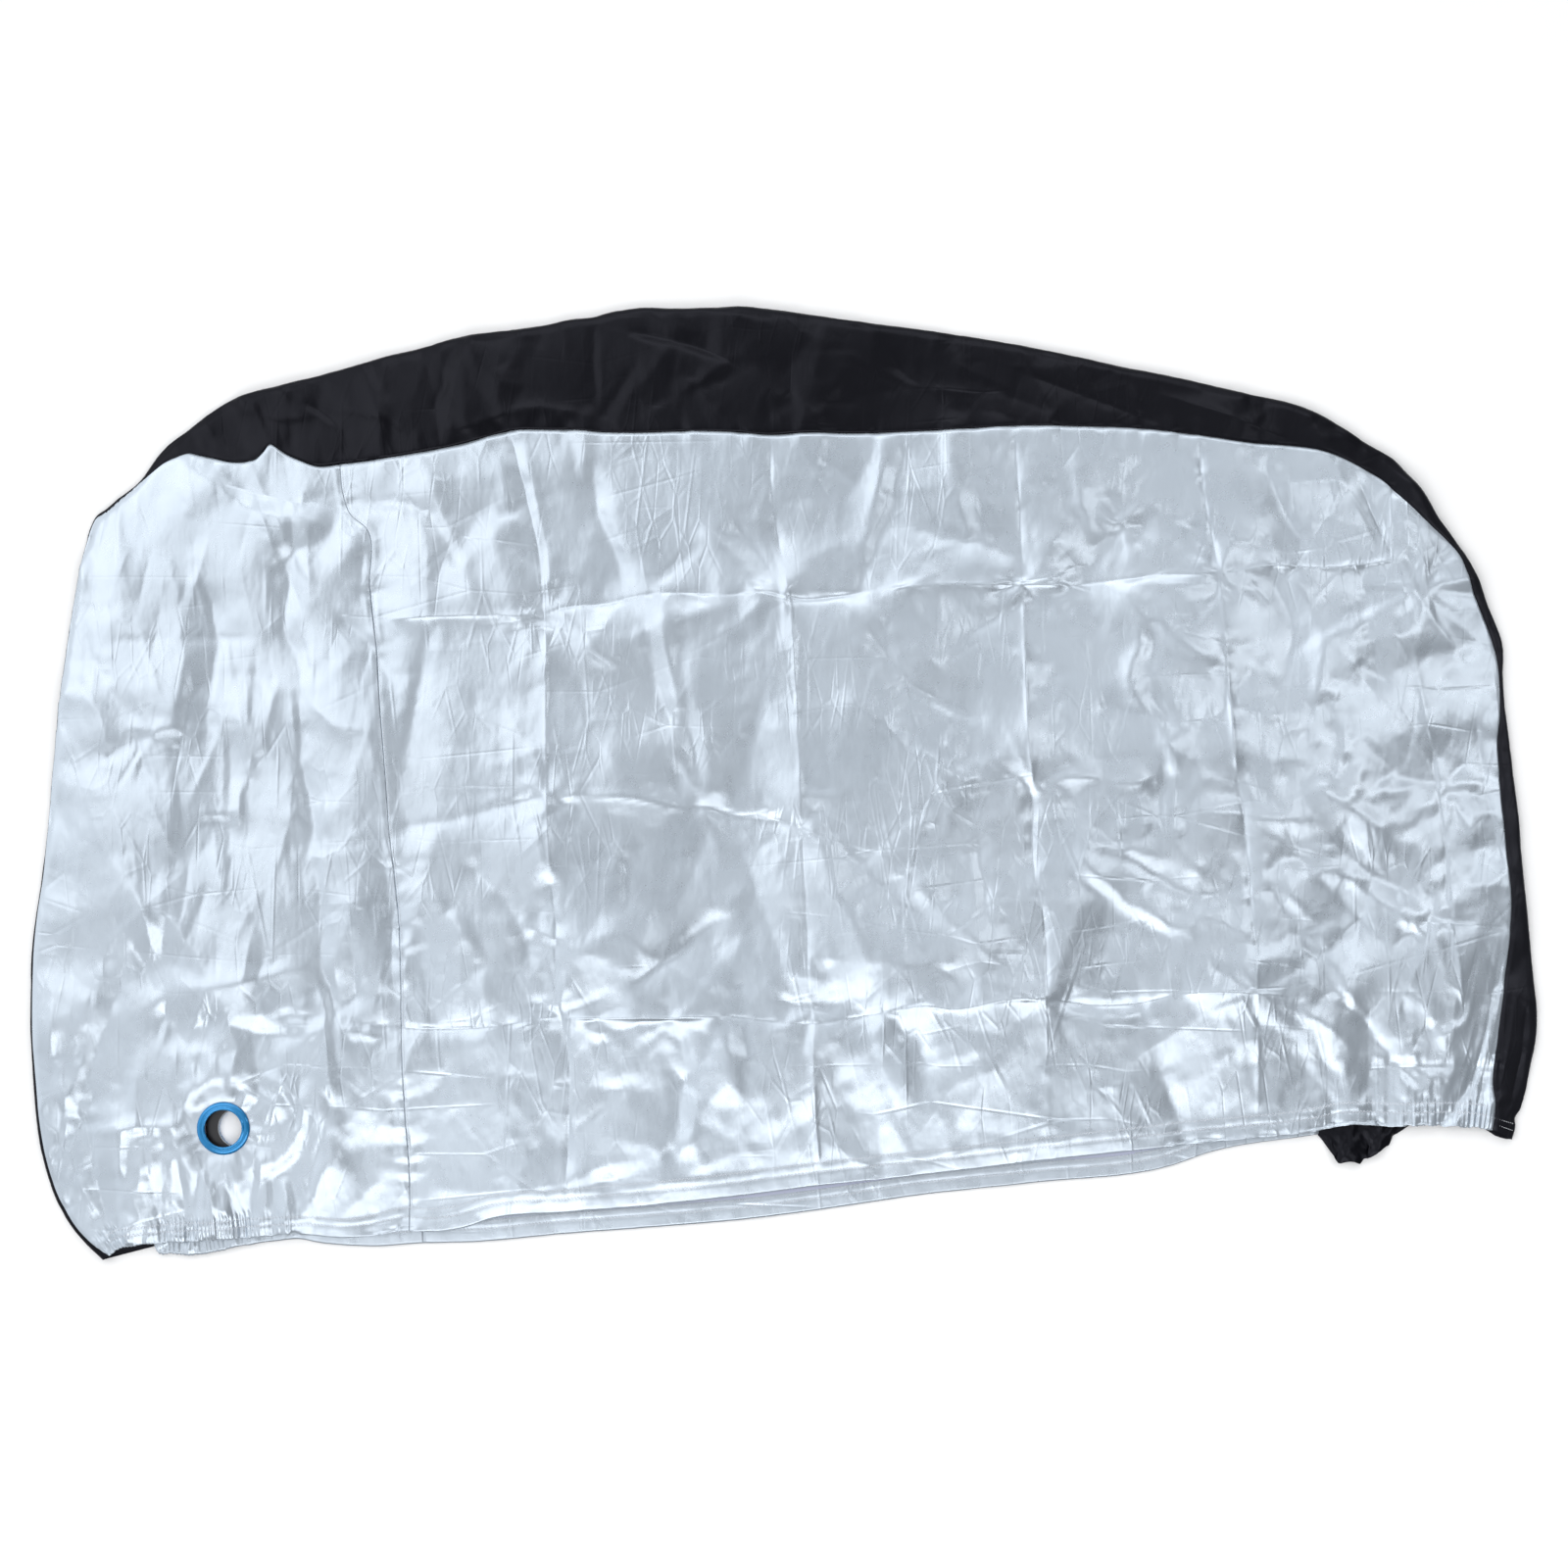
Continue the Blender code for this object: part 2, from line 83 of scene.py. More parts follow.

# listed folds: (kind, height mm, half width mm, [(x, y) photo-frame places])
# the places are converted to mm by mm(); height > 0 ridge, < 0 trough
FOLDS = [
 # long folds across the cover, from how it was packed
 (-2.6, 16, [(523,446),(531,481),(544,532),(552,580),(555,627),(559,643)]),
 ( 2.2, 14, [(559,643),(558,732),(559,812),(563,898)]),
 (-2.4, 16, [(563,898),(567,930),(572,1035),(578,1057),(581,1137),(577,1220)]),
 ( 2.6, 9, [(512,450),(520,520),(530,575),(540,622)]),
 ( 2.0, 8, [(536,450),(548,510),(560,570),(563,615)]),
 (-3.2, 18, [(786,449),(787,500),(792,541),(799,573)]),
 ( 3.0, 16, [(799,573),(808,630),(811,691),(815,771),(816,844)]),
 (-3.0, 18, [(816,844),(823,930),(826,1013),(829,1045)]),
 ( 3.0, 14, [(829,1045),(831,1121),(836,1194)]),
 (-2.2, 16, [(1034,442),(1039,512),(1044,600)]),
 ( 2.0, 14, [(1044,600),(1046,707),(1053,803)]),
 (-2.4, 16, [(1053,803),(1056,898),(1063,930),(1068,1016)]),
 (-2.4, 16, [(1222,451),(1228,516),(1242,578)]),
 ( 2.6, 14, [(1242,578),(1249,650),(1254,726),(1260,790)]),
 (-2.2, 14, [(1260,790),(1269,850),(1274,912),(1280,975)]),
 ( 2.6, 14, [(1280,975),(1282,1039),(1282,1144)]),
 (-3.0, 18, [(1381,482),(1395,516),(1424,578)]),
 ( 3.4, 16, [(1424,578),(1438,650),(1448,707),(1460,764)]),
 (-2.8, 16, [(1460,764),(1467,822),(1473,864),(1474,928)]),
 ( 3.0, 14, [(1474,928),(1486,979),(1491,1030)]),
 ( 3.0, 12, [(1429,587),(1450,620),(1486,669)]),
 (-2.4, 12, [(1503,726),(1515,803),(1534,898)]),
 # cross folds
 (-2.0, 14, [(114,655),(190,652),(268,653)]),
 ( 2.4, 12, [(400,632),(464,629),(553,629)]),
 (-2.6, 14, [(553,629),(575,621),(620,616),(655,608),(687,605),(735,608)]),
 (-2.2, 14, [(735,608),(783,605),(814,611),(900,602)]),
 ( 2.2, 12, [(900,602),(965,597),(1041,597),(1089,597)]),
 (-2.6, 14, [(1089,597),(1142,592),(1185,587),(1242,587)]),
 ( 2.6, 12, [(1242,587),(1295,578),(1352,580),(1424,573)]),
 ( 2.2, 12, [(157,739),(221,746),(268,739)]),
 ( 2.2, 12, [(311,710),(343,739),(389,746)]),
 (-2.4, 14, [(400,846),(438,842),(508,825),(556,811)]),
 ( 2.2, 12, [(560,811),(630,812),(697,819)]),
 (-2.2, 12, [(700,820),(760,836),(815,844)]),
 ( 2.0, 12, [(1056,803),(1089,793),(1147,798),(1185,793)]),
 ( 2.2, 10, [(1343,812),(1390,817)]),
 (-2.4, 14, [(338,1041),(410,1049),(484,1049),(573,1038)]),
 ( 2.6, 12, [(573,1038),(621,1038),(682,1038),(735,1036)]),
 (-2.8, 14, [(735,1036),(828,1044),(904,1032)]),
 ( 2.6, 12, [(904,1032),(942,1025),(971,1029),(1028,1019),(1070,1019)]),
 (-2.6, 14, [(1070,1019),(1111,1025),(1159,1024),(1200,1014)]),
 ( 2.4, 12, [(1200,1014),(1228,1012),(1280,1013),(1310,1017)]),
 # front end
 ( 3.2, 22, [(123,510),(120,585),(110,660)]),
 (-3.0, 18, [(80,617),(104,680),(130,733)]),
 ( 3.6, 20, [(73,681),(107,739),(116,799),(139,899),(153,946),(158,978)]),
 (-3.0, 18, [(302,542),(300,585),(286,639)]),
 (-3.4, 18, [(286,639),(307,689),(305,717),(312,781),(326,872)]),
 (-3.2, 18, [(326,872),(332,946),(338,1041)]),
 ( 3.0, 16, [(338,1041),(340,1099),(349,1169),(363,1204)]),
 ( 5.0, 26, [(185,470),(250,520),(340,540),(375,560)]),
 (-3.5, 20, [(215,480),(262,505),(330,512),(372,518)]),
 ( 4.5, 30, [(150,900),(210,990),(245,1070)]),
 (-3.6, 22, [(118,930),(160,1010),(196,1080)]),
 ( 3.0, 16, [(285,700),(262,770),(240,850)]),
 ( 2.6, 14, [(258,690),(256,740),(262,770)]),
 ( 3.0, 20, [(75,560),(100,650),(96,735)]),
 (-2.8, 22, [(60,800),(78,900),(72,1010)]),
 ( 3.0, 22, [(52,980),(60,1080),(76,1160)]),
 (-2.6, 14, [(250,1095),(300,1130),(310,1165),(280,1200)]),
 ( 2.4, 12, [(85,1150),(135,1152),(190,1155)]),
 ( 2.6, 16, [(180,1010),(250,1000),(320,985)]),
 (-2.6, 16, [(200,1040),(260,1050),(330,1060)]),
 ( 2.6, 14, [(170,560),(190,640),(178,735)]),
 (-2.6, 14, [(215,600),(222,680),(205,760)]),
 # middle of the near side
 ( 3.0, 14, [(675,610),(684,700),(690,770),(715,820)]),
 ( 3.0, 12, [(700,640),(712,720),(722,800),(716,830)]),
 (-3.6, 14, [(655,625),(676,700),(700,820)]),
 (-3.0, 12, [(692,640),(700,720),(716,812)]),
 ( 3.2, 22, [(560,610),(602,655),(640,700)]),
 ( 2.8, 14, [(905,460),(890,520),(870,570)]),
 (-2.8, 12, [(922,462),(905,530),(884,580)]),
 ( 2.8, 14, [(720,540),(750,570),(780,600)]),
 (-2.8, 12, [(745,530),(770,560),(795,590)]),
 ( 3.2, 14, [(1140,590),(1160,640),(1152,700),(1185,745),(1200,790)]),
 (-3.0, 12, [(1160,590),(1180,640),(1172,700),(1200,750)]),
 ( 3.0, 22, [(1130,600),(1180,640),(1240,680)]),
 (-3.0, 14, [(1290,580),(1320,640),(1310,700)]),
 ( 3.0, 12, [(1310,585),(1345,650),(1335,720)]),
 ( 3.0, 16, [(1340,795),(1380,830),(1420,850)]),
 (-2.6, 10, [(1360,862),(1410,900),(1465,940)]),
 ( 2.4, 9, [(1350,880),(1400,915),(1452,955)]),
 (-2.0, 8, [(1290,900),(1330,970),(1363,1011),(1395,1051),(1450,1110)]),
 ( 2.6, 10, [(1310,900),(1350,965),(1385,1030)]),
 (-3.0, 12, [(690,1040),(700,1095),(692,1150)]),
 ( 3.0, 12, [(735,1042),(748,1090),(756,1130)]),
 (-3.0, 11, [(760,1042),(765,1090),(758,1130)]),
 ( 3.0, 11, [(910,1035),(922,1080),(915,1130)]),
 (-2.6, 11, [(932,1032),(942,1080),(936,1120)]),
 ( 3.6, 24, [(620,930),(680,985),(740,1020)]),
 (-3.0, 18, [(640,1010),(700,960),(745,930)]),
 ( 2.6, 14, [(430,900),(480,960),(500,1035)]),
 (-2.6, 14, [(470,880),(520,930),(560,1010)]),
 ( 2.6, 16, [(890,860),(960,930),(1020,985)]),
 (-2.6, 14, [(860,900),(930,960),(985,1020)]),
 ( 2.6, 14, [(860,700),(920,760),(1000,800)]),
 (-2.4, 14, [(880,640),(930,700),(1010,740)]),
 ( 3.0, 14, [(1090,860),(1150,920),(1230,960)]),
 (-2.6, 12, [(1110,840),(1170,890),(1250,925)]),
 ( 2.6, 12, [(440,480),(470,560),(490,625)]),
 (-2.4, 12, [(600,470),(620,540),(640,600)]),
 ( 2.4, 12, [(1090,470),(1110,530),(1150,585)]),
 (-2.4, 12, [(1290,470),(1310,520),(1340,575)]),
 ( 2.6, 12, [(970,460),(985,530),(1000,590)]),
 # folds drawn up from the rear elastic
 ( 1.7, 8, [(1330,1035),(1375,1067),(1385,1090)]),
 (-1.6, 7, [(1430,1011),(1438,1055),(1458,1078)]),
 ( 1.7, 7, [(1494,1007),(1498,1031),(1462,1059)]),
 (-2.0, 7, [(1418,1068),(1415,1128)]),
 ( 1.8, 7, [(1464,1080),(1458,1120)]),
 (-2.0, 7, [(1513,1080),(1502,1132)]),
 ( 1.8, 7, [(1371,1073),(1379,1118),(1399,1130)]),
 (-1.8, 7, [(1340,1057),(1359,1094),(1375,1122)]),
 ( 1.6, 6, [(1440,1085),(1436,1128)]),
 # above the middle of the hem
 ( 2.6, 8, [(730,1080),(746,1108),(770,1125)]),
 (-2.2, 7, [(740,1104),(742,1143)]),
 ( 2.4, 8, [(693,1080),(707,1120),(701,1175)]),
 (-2.6, 8, [(608,1195),(643,1226)]),
 ( 1.8, 7, [(796,1131),(790,1159)]),
 (-2.0, 7, [(863,1116),(873,1151)]),
 # round the near eyelet and the front foot
 ( 2.6, 8, [(246,1088),(297,1112),(309,1135),(297,1175),(273,1195)]),
 (-2.2, 7, [(60,1127),(84,1139),(96,1151)]),
 (-2.2, 6, [(119,1155),(150,1156),(190,1153)]),
 ( 2.6, 8, [(190,1156),(206,1190),(226,1238)]),
 (-3.4, 16, [(337,1110),(348,1150),(360,1199)]),
 ( 2.4, 8, [(76,1199),(103,1242)]),
 (-2.4, 8, [(233,1205),(240,1235)]),
 # near the top of the seam
 (-2.4, 8, [(374,517),(426,522),(460,560),(477,594)]),
 ( 1.8, 6, [(507,530),(503,599)]),
 (-1.8, 6, [(520,530),(537,582)]),
 ( 2.2, 8, [(610,526),(597,582)]),
 (-2.2, 8, [(340,625),(379,655),(404,693)]),
 ( 2.0, 8, [(593,629),(606,655),(597,706)]),
]
STARS = [(560,812,6,45,2.6),(816,844,7,60,3.2),(572,1035,6,50,2.6),(828,1030,7,60,3.0),(1450,600,8,60,3.4),
 (1460,935,6,50,2.8),(155,750,6,50,2.6),(1150,535,7,45,3.0),(715,820,6,45,3.0),(1053,803,6,45,2.4),(1244,585,7,55,2.8),
 (1276,1013,6,45,2.6),(1068,1019,6,45,2.4),(553,629,6,45,2.6),(797,608,6,45,2.6),(338,1041,6,55,3.0),(300,560,5,45,2.6),
 (1042,597,6,40,2.4),(905,1032,5,40,2.4),(690,1040,5,40,2.4),(1390,815,6,45,2.6),(1474,800,6,45,2.8)]


def mm(points):
    p = np.asarray(points, float)
    return np.stack([(p[:, 0] - 801) * PX + 2, (800 - p[:, 1]) * PX], 1)

def ease(f):
    f = np.clip(f, 0, 1)
    return f * f * (3 - 2 * f)

def along(points):
    return np.concatenate([[0.0], np.cumsum(np.hypot(*np.diff(points, axis=0).T))])

def smooth(at, knots, values):
    at, knots, values = (np.asarray(v, float) for v in (at, knots, values))
    step = np.diff(knots); rise = np.diff(values) / step
    slope = np.empty_like(values); slope[0], slope[-1] = rise[0], rise[-1]
    slope[1:-1] = (rise[:-1] * step[1:] + rise[1:] * step[:-1]) / (step[1:] + step[:-1])
    i = np.clip(np.searchsorted(knots, at, side="right") - 1, 0, len(step) - 1)
    f = (at - knots[i]) / step[i]
    return ((2*f**3-3*f**2+1)*values[i] + (f**3-2*f**2+f)*step[i]*slope[i]
            + (3*f**2-2*f**3)*values[i+1] + (f**3-f**2)*step[i]*slope[i+1])

def curve(points, spacing=None, count=None):
    points = np.asarray(points, float)
    knots = along(points)
    fine = np.linspace(0, knots[-1], max(200, int(knots[-1] / 2)))
    line = np.stack([smooth(fine, knots, points[:, k]) for k in (0, 1)], 1)
    run = along(line)
    if count is None:
        count = max(2, int(round(run[-1] / spacing)))
    want = np.linspace(0, run[-1], count + 1)
    return np.stack([np.interp(want, run, line[:, k]) for k in (0, 1)], 1)

def inside(x, y, poly):
    """Even-odd test of points against a closed polygon."""
    out = np.zeros(x.shape, bool)
    px, py = poly[:, 0], poly[:, 1]
    qx, qy = np.roll(px, -1), np.roll(py, -1)
    for i in range(len(poly)):
        if py[i] == qy[i]:
            continue
        lo, hi = min(py[i], qy[i]), max(py[i], qy[i])
        rows = (y > lo) & (y <= hi)
        if not rows.any():
            continue
        cross = px[i] + (y - py[i]) * (qx[i] - px[i]) / (qy[i] - py[i])
        out ^= rows & (x < cross)
    return out

def dist_line(x, y, line):
    """Distance to a polyline, arc place along it, and side (left +)."""
    best = np.full(x.shape, 1e9); place = np.zeros(x.shape); side = np.ones(x.shape)
    run = along(line)
    for i in range(len(line) - 1):
        ax, ay = line[i]; dx, dy = line[i+1] - line[i]
        l2 = dx*dx + dy*dy
        if l2 < 1e-9: continue
        f = np.clip(((x-ax)*dx + (y-ay)*dy) / l2, 0, 1)
        ex, ey = x - ax - f*dx, y - ay - f*dy
        d = np.hypot(ex, ey)
        m = d < best
        best = np.where(m, d, best)
        place = np.where(m, run[i] + f*math.sqrt(l2), place)
        side = np.where(m, np.sign(dx*ey - dy*ex), side)
    return best, place, side

class Field:
    """A height field on a square grid, in millimetres."""
    def __init__(self, h, x0=-1022.0, y0=-654.0, w=2048.0, t=1312.0):
        self.h, self.x0, self.y0 = h, x0, y0
        self.nx, self.ny = int(round(w/h)) + 1, int(round(t/h)) + 1
        self.xs = x0 + h*np.arange(self.nx); self.ys = y0 + h*np.arange(self.ny)
        self.X, self.Y = np.meshgrid(self.xs, self.ys)
        self.Z = np.zeros_like(self.X)

def sample(Z, x0, y0, h, x, y):
    u = np.clip((x-x0)/h, 0, Z.shape[1]-1.001); v = np.clip((y-y0)/h, 0, Z.shape[0]-1.001)
    i = u.astype(int); j = v.astype(int); fu = u-i; fv = v-j
    return ((1-fv)*((1-fu)*Z[j, i] + fu*Z[j, i+1]) + fv*((1-fu)*Z[j+1, i] + fu*Z[j+1, i+1]))

def up2(Z):
    """Twice as fine, cubic."""
    def one(A):
        n = A.shape[0]
        B = np.empty((2*n-1,) + A.shape[1:])
        B[::2] = A
        P = np.concatenate([A[:1], A, A[-1:]])
        B[1::2] = (-P[:-3] + 9*P[1:-2] + 9*P[2:-1] - P[3:]) / 16
        return B
    return one(one(Z).swapaxes(0, 1)).swapaxes(0, 1)

def lap(z):
    p = np.pad(z, 1, mode="edge")
    return p[:-2, 1:-1] + p[2:, 1:-1] + p[1:-1, :-2] + p[1:-1, 2:] - 4*z

def noise1(rng, n, scale, at):
    v = rng.standard_normal(n)
    return np.interp(at/scale, np.arange(n), v)

def stamp(F, Z, x0, y0, x1, y1, tall, wide, soft=0.0, kind="tent", taper=0.25, lean=0.0, K=None):
    """Add one fold between two points to a height field, in its own window."""
    L = math.hypot(x1-x0, y1-y0)
    if L < 1e-6: return
    reach = 3.2*wide
    xa, xb = min(x0, x1)-reach, max(x0, x1)+reach
    ya, yb = min(y0, y1)-reach, max(y0, y1)+reach
    i0 = max(0, int((xa-F.x0)/F.h)); i1 = min(F.nx, int((xb-F.x0)/F.h)+2)
    j0 = max(0, int((ya-F.y0)/F.h)); j1 = min(F.ny, int((yb-F.y0)/F.h)+2)
    if i1 <= i0 or j1 <= j0: return
    X = F.X[j0:j1, i0:i1]; Y = F.Y[j0:j1, i0:i1]
    tx, ty = (x1-x0)/L, (y1-y0)/L
    s = (X-x0)*tx + (Y-y0)*ty
    d = (X-x0)*-ty + (Y-y0)*tx
    over = np.maximum(0, np.maximum(-s, s-L))
    f = np.clip(s/L, 0, 1)
    env = np.minimum(1, np.minimum(f, 1-f)/taper + 0.35) * np.exp(-(over/(wide*0.8))**2)
    a = np.sqrt(d*d + soft*soft)
    w = wide*np.where(d > 0, 1 + lean, 1 - lean) if lean else wide
    if kind == "tent":
        prof = np.exp(-a/w)
    else:
        prof = np.exp(-(a/w)**2)
    Z[j0:j1, i0:i1] += tall*env*prof
    if K is not None:
        k = K[j0:j1, i0:i1]
        np.maximum(k, np.minimum(env, 1)*np.exp(-(d/5.0)**2), out=k)

def bend(F, Z, points, tall, wide, rng, soft=1.0, wander=1.0, kind="tent", lean=0.45, K=None, steer=None):
    """Add a fold along a polyline, its height uneven along its run."""
    p = curve(points, spacing=14) if len(points) > 2 else curve(np.array(points, float), spacing=14)
    n = len(p)
    # one window for the whole line
    d, place, side = None, None, None
    reach = 3.2*wide
    xa, xb = p[:, 0].min()-reach, p[:, 0].max()+reach
    ya, yb = p[:, 1].min()-reach, p[:, 1].max()+reach
    i0 = max(0, int((xa-F.x0)/F.h)); i1 = min(F.nx, int((xb-F.x0)/F.h)+2)
    j0 = max(0, int((ya-F.y0)/F.h)); j1 = min(F.ny, int((yb-F.y0)/F.h)+2)
    if i1 <= i0 or j1 <= j0: return
    X = F.X[j0:j1, i0:i1]; Y = F.Y[j0:j1, i0:i1]
    jig = p.copy()
    if wander:
        run = along(p)
        jig[:, 0] += wander*noise1(rng, n+3, 38, run)
        jig[:, 1] += wander*noise1(rng, n+3, 38, run)
    d, s, side = dist_line(X, Y, jig)
    run = along(jig)[-1]
    k = int(run/45)+4
    mod = 1 + 0.45*noise1(rng, k, 45, s)
    fade = ease(s/40+0.25)*ease((run-s)/40+0.25)
    tilt = lean*np.sign(rng.standard_normal()) + 0.25*noise1(rng, k, 60, s)
    if steer is not None:
        tilt = steer + 0.12*noise1(rng, k, 90, s)
    w = wide*np.clip(1 + side*tilt, 0.35, 1.9)
    a = np.sqrt(d*d + soft*soft)
    prof = np.exp(-a/w) if kind == "tent" else np.exp(-(a/w)**2)
    Z[j0:j1, i0:i1] += tall*mod*fade*prof
    if K is not None:
        k = K[j0:j1, i0:i1]
        np.maximum(k, fade*np.exp(-(d/5.0)**2), out=k)

def flatten(F, Z, mask, steps, k=0.027, sharp=0.035):
    """Makes the cloth flat between its creases and leaves the creases as they are."""
    Z = Z.copy()
    for it in range(steps):
        bent = lap(Z)
        if it % 4 == 0:
            w = k/(1 + (bent/(sharp*F.h))**2)
        Z -= lap(w*bent)*mask
    return Z


def relax(F, Z, target, mask, excess, steps, bendk, pull, shear=0.6, smooth_xy=0.02, P=None, up=None, floor=None, every=1, creases=None):
    """Cloth of fixed length settles: buckles to take up its spare length."""
    h = F.h
    if P is None:
        P = np.stack([F.X, F.Y, Z], 2)
    else:
        P = P.copy()
    X, Y = F.X, F.Y
    rest = h*(1+excess)
    dirs = [(0, 1), (1, 0), (1, 1), (1, -1)]
    jobs = []
    for dj, di in dirs:
        for par in (0, 1):
            if (dj, di) == (1, 0):
                a = (slice(par, F.ny-1, 2), slice(None)); b = (slice(par+1, F.ny, 2), slice(None))
            elif (dj, di) == (0, 1):
                a = (slice(None), slice(par, F.nx-1, 2)); b = (slice(None), slice(par+1, F.nx, 2))
            elif (dj, di) == (1, 1):
                a = (slice(0, F.ny-1), slice(par, F.nx-1, 2)); b = (slice(1, F.ny), slice(par+1, F.nx, 2))
            else:
                a = (slice(1, F.ny), slice(par, F.nx-1, 2)); b = (slice(0, F.ny-1), slice(par+1, F.nx, 2))
            na = P[a].shape; nb = P[b].shape
            r, c = min(na[0], nb[0]), min(na[1], nb[1])
            def cut(s, n0, n1):
                return (slice(s[0].start, s[0].stop, s[0].step), slice(s[1].start, s[1].stop, s[1].step))
            A = (a, (slice(0, r), slice(0, c))); B = (b, (slice(0, r), slice(0, c)))
            m = (mask[a][:r, :c] & mask[b][:r, :c])
            base = math.hypot(dj, di)
            R = 0.5*(rest[a][:r, :c] + rest[b][:r, :c])*base
            k = 0.5*(1.0 if base == 1 else shear)
            jobs.append((a, b, r, c, m*k, R))
    free = mask.astype(float)
    bk = bendk if creases is None else bendk*creases
    for it in range(steps):
        for a, b, r, c, mk, R in jobs:
            A = P[a][:r, :c]; B = P[b][:r, :c]
            D = B - A
            L = np.sqrt((D*D).sum(2))
            q = (mk*(L-R)/np.maximum(L, 1e-6))[..., None]*D
            A += q; B -= q
        z = P[..., 2]
        bent = lap(z)
        if it % 4 == 0:                      # a crease, once sharp, no longer resists
            stiff = bk/(1 + (bent/(0.085*h))**2)
        z -= lap(stiff*bent)*free
        z += pull*(target-z)
        if smooth_xy:
            for k, ref in ((0, X), (1, Y)):
                u = P[..., k]-ref
                u += smooth_xy*lap(u)
                P[..., k] = ref + u*0.999
        if floor is not None:
            np.maximum(z, floor, out=z)
        P[..., 2] = np.where(mask, z, target)
    return P


# ------------------------------------------------------------ more tables
# seam between the near front panel and the near main panel
SEAM = [(348, 475), (351, 504), (358, 525), (375, 540), (378, 600), (384, 656), (388, 710), (391, 746), (395, 799),
        (398, 846), (404, 899), (408, 946), (410, 993), (410, 1041), (411, 1073), (414, 1137), (418, 1200), (418, 1255)]
FAR_HEM = [(158, 1272), (160, 1277), (182, 1280), (205, 1280), (229, 1275), (249, 1271), (279, 1267), (308, 1265),
           (323, 1268), (352, 1271), (381, 1272), (431, 1269), (480, 1268), (573, 1260), (669, 1253), (764, 1245),
           (828, 1237), (939, 1221), (1051, 1209), (1200, 1190), (1228, 1180), (1345, 1160)]
# sections across the strip in mm: outer fold, near seam, far seam
SECTIONS = [
    (-905, -633, -896, -627, -836, -615), (-944, -593, -937, -589, -846, -567), (-983, -495, -976, -492, -836, -495),
    (-995, -404, -988, -404, -818, -410), (-1000, -313, -994, -313, -798, -326), (-997, -221, -991, -221, -782, -221),
    (-984, -111, -978, -111, -756, -111), (-973, 0, -967, 0, -732, 0), (-962, 111, -956, 111, -700, 117),
    (-950, 202, -944, 202, -674, 189), (-935, 293, -929, 291, -640, 237), (-907, 360, -901, 356, -612, 261),
    (-855, 404, -851, 397, -579, 271), (-810, 456, -807, 433, -547, 279), (-752, 499, -752, 431, -520, 285),
    (-674, 529, -670, 439, -488, 293), (-583, 552, -588, 423, -442, 306), (-494, 577, -514, 433, -384, 323),
    (-419, 595, -454, 444, -332, 339), (-345, 606, -358, 468, -286, 356), (-260, 618, -260, 468, -221, 380),
    (-182, 633, -182, 465, -162, 399), (-97, 633, -97, 466, -97, 409), (1, 628, 1, 463, 1, 404),
    (131, 611, 131, 465, 118, 384), (274, 590, 274, 473, 242, 352), (405, 564, 398, 474, 352, 318),
    (548, 534, 528, 465, 470, 276), (686, 502, 652, 448, 561, 232), (776, 452, 754, 425, 616, 193),
    (842, 395, 815, 384, 652, 143), (910, 294, 891, 309, 678, 78), (951, 195, 939, 195, 689, 13),
    (966, 52, 951, 52, 699, -65), (978, -42, 956, -39, 707, -130), (988, -156, 966, -150, 717, -208),
    (999, -261, 958, -261, 728, -287), (997, -358, 947, -358, 730, -371), (971, -466, 941, -459, 712, -466)]
CORNER, FAR_SPLIT, NEAR_SPLIT, STRIP_SPLIT, REAR, LAST = 11, 15, 16, 18, 29, 38
FAR_SEAM = [(-480, -611), (-487, -365), (-488, -100), (-488, 150), (-488, 293)]
EYELET_NEAR = (-743.0, -457.0, 14.5)
EYELET_FAR = (-726.0, -457.0, 4.3)
HEM_BAND = 30.0        # depth of the turned-up hem
ELASTIC_LEFT = 262.0   # how far the elastic draws in the near hem from its front end
ELASTIC_RIGHT = 205.0  # and from its rear end
BUNCH = [(0.60, 0.0, 0.0), (0.68, 21.0, 6.5), (0.76, 34.0, 3.0), (0.84, 37.0, 8.0), (0.92, 33.0, 3.5), (1.00, 4.0, 0.0)]

BLACK_FOLDS = [(-1.9, 4.2, [(478, 344), (455, 380), (455, 396), (445, 415), (449, 434), (451, 458)]),
               (0.9, 9, [(488, 344), (466, 380), (458, 415), (462, 456)]),
               (-1.4, 4, [(608, 329), (607, 360), (610, 408)]), (-1.4, 4, [(781, 402), (782, 420), (785, 443)]),
               (3.0, 13, [(240, 407), (280, 428), (325, 425)]), (-2.8, 10, [(276, 450), (270, 425), (262, 408)]),
               (2.8, 12, [(345, 418), (397, 430), (424, 446)]), (-2.6, 10, [(308, 410), (330, 421), (352, 440)]),
               (2.6, 10, [(205, 424), (214, 440), (222, 458)]), (2.8, 14, [(470, 440), (540, 418), (600, 424)]),
               (-2.6, 12, [(640, 340), (700, 352), (770, 380)]), (2.6, 13, [(655, 430), (700, 400), (735, 372)]),
               (2.6, 14, [(860, 360), (930, 392), (1000, 404)]), (-2.4, 11, [(1030, 376), (1100, 402), (1180, 432)]),
               (2.6, 12, [(1180, 402), (1250, 424), (1310, 448)]), (-2.4, 11, [(1340, 432), (1390, 450), (1440, 490)]),
               (2.8, 9, [(1548, 1000), (1540, 1050), (1530, 1110)]), (-2.6, 8, [(1556, 1030), (1550, 1080), (1540, 1130)])]
PACKED = 42            # the first folds in the table are the pressed ones, from packing
rim, near, hem, seam = (curve(mm(t), spacing=2.0) for t in (RIM, NEAR, HEM, SEAM))
outer = np.concatenate([rim, hem[::-1]])


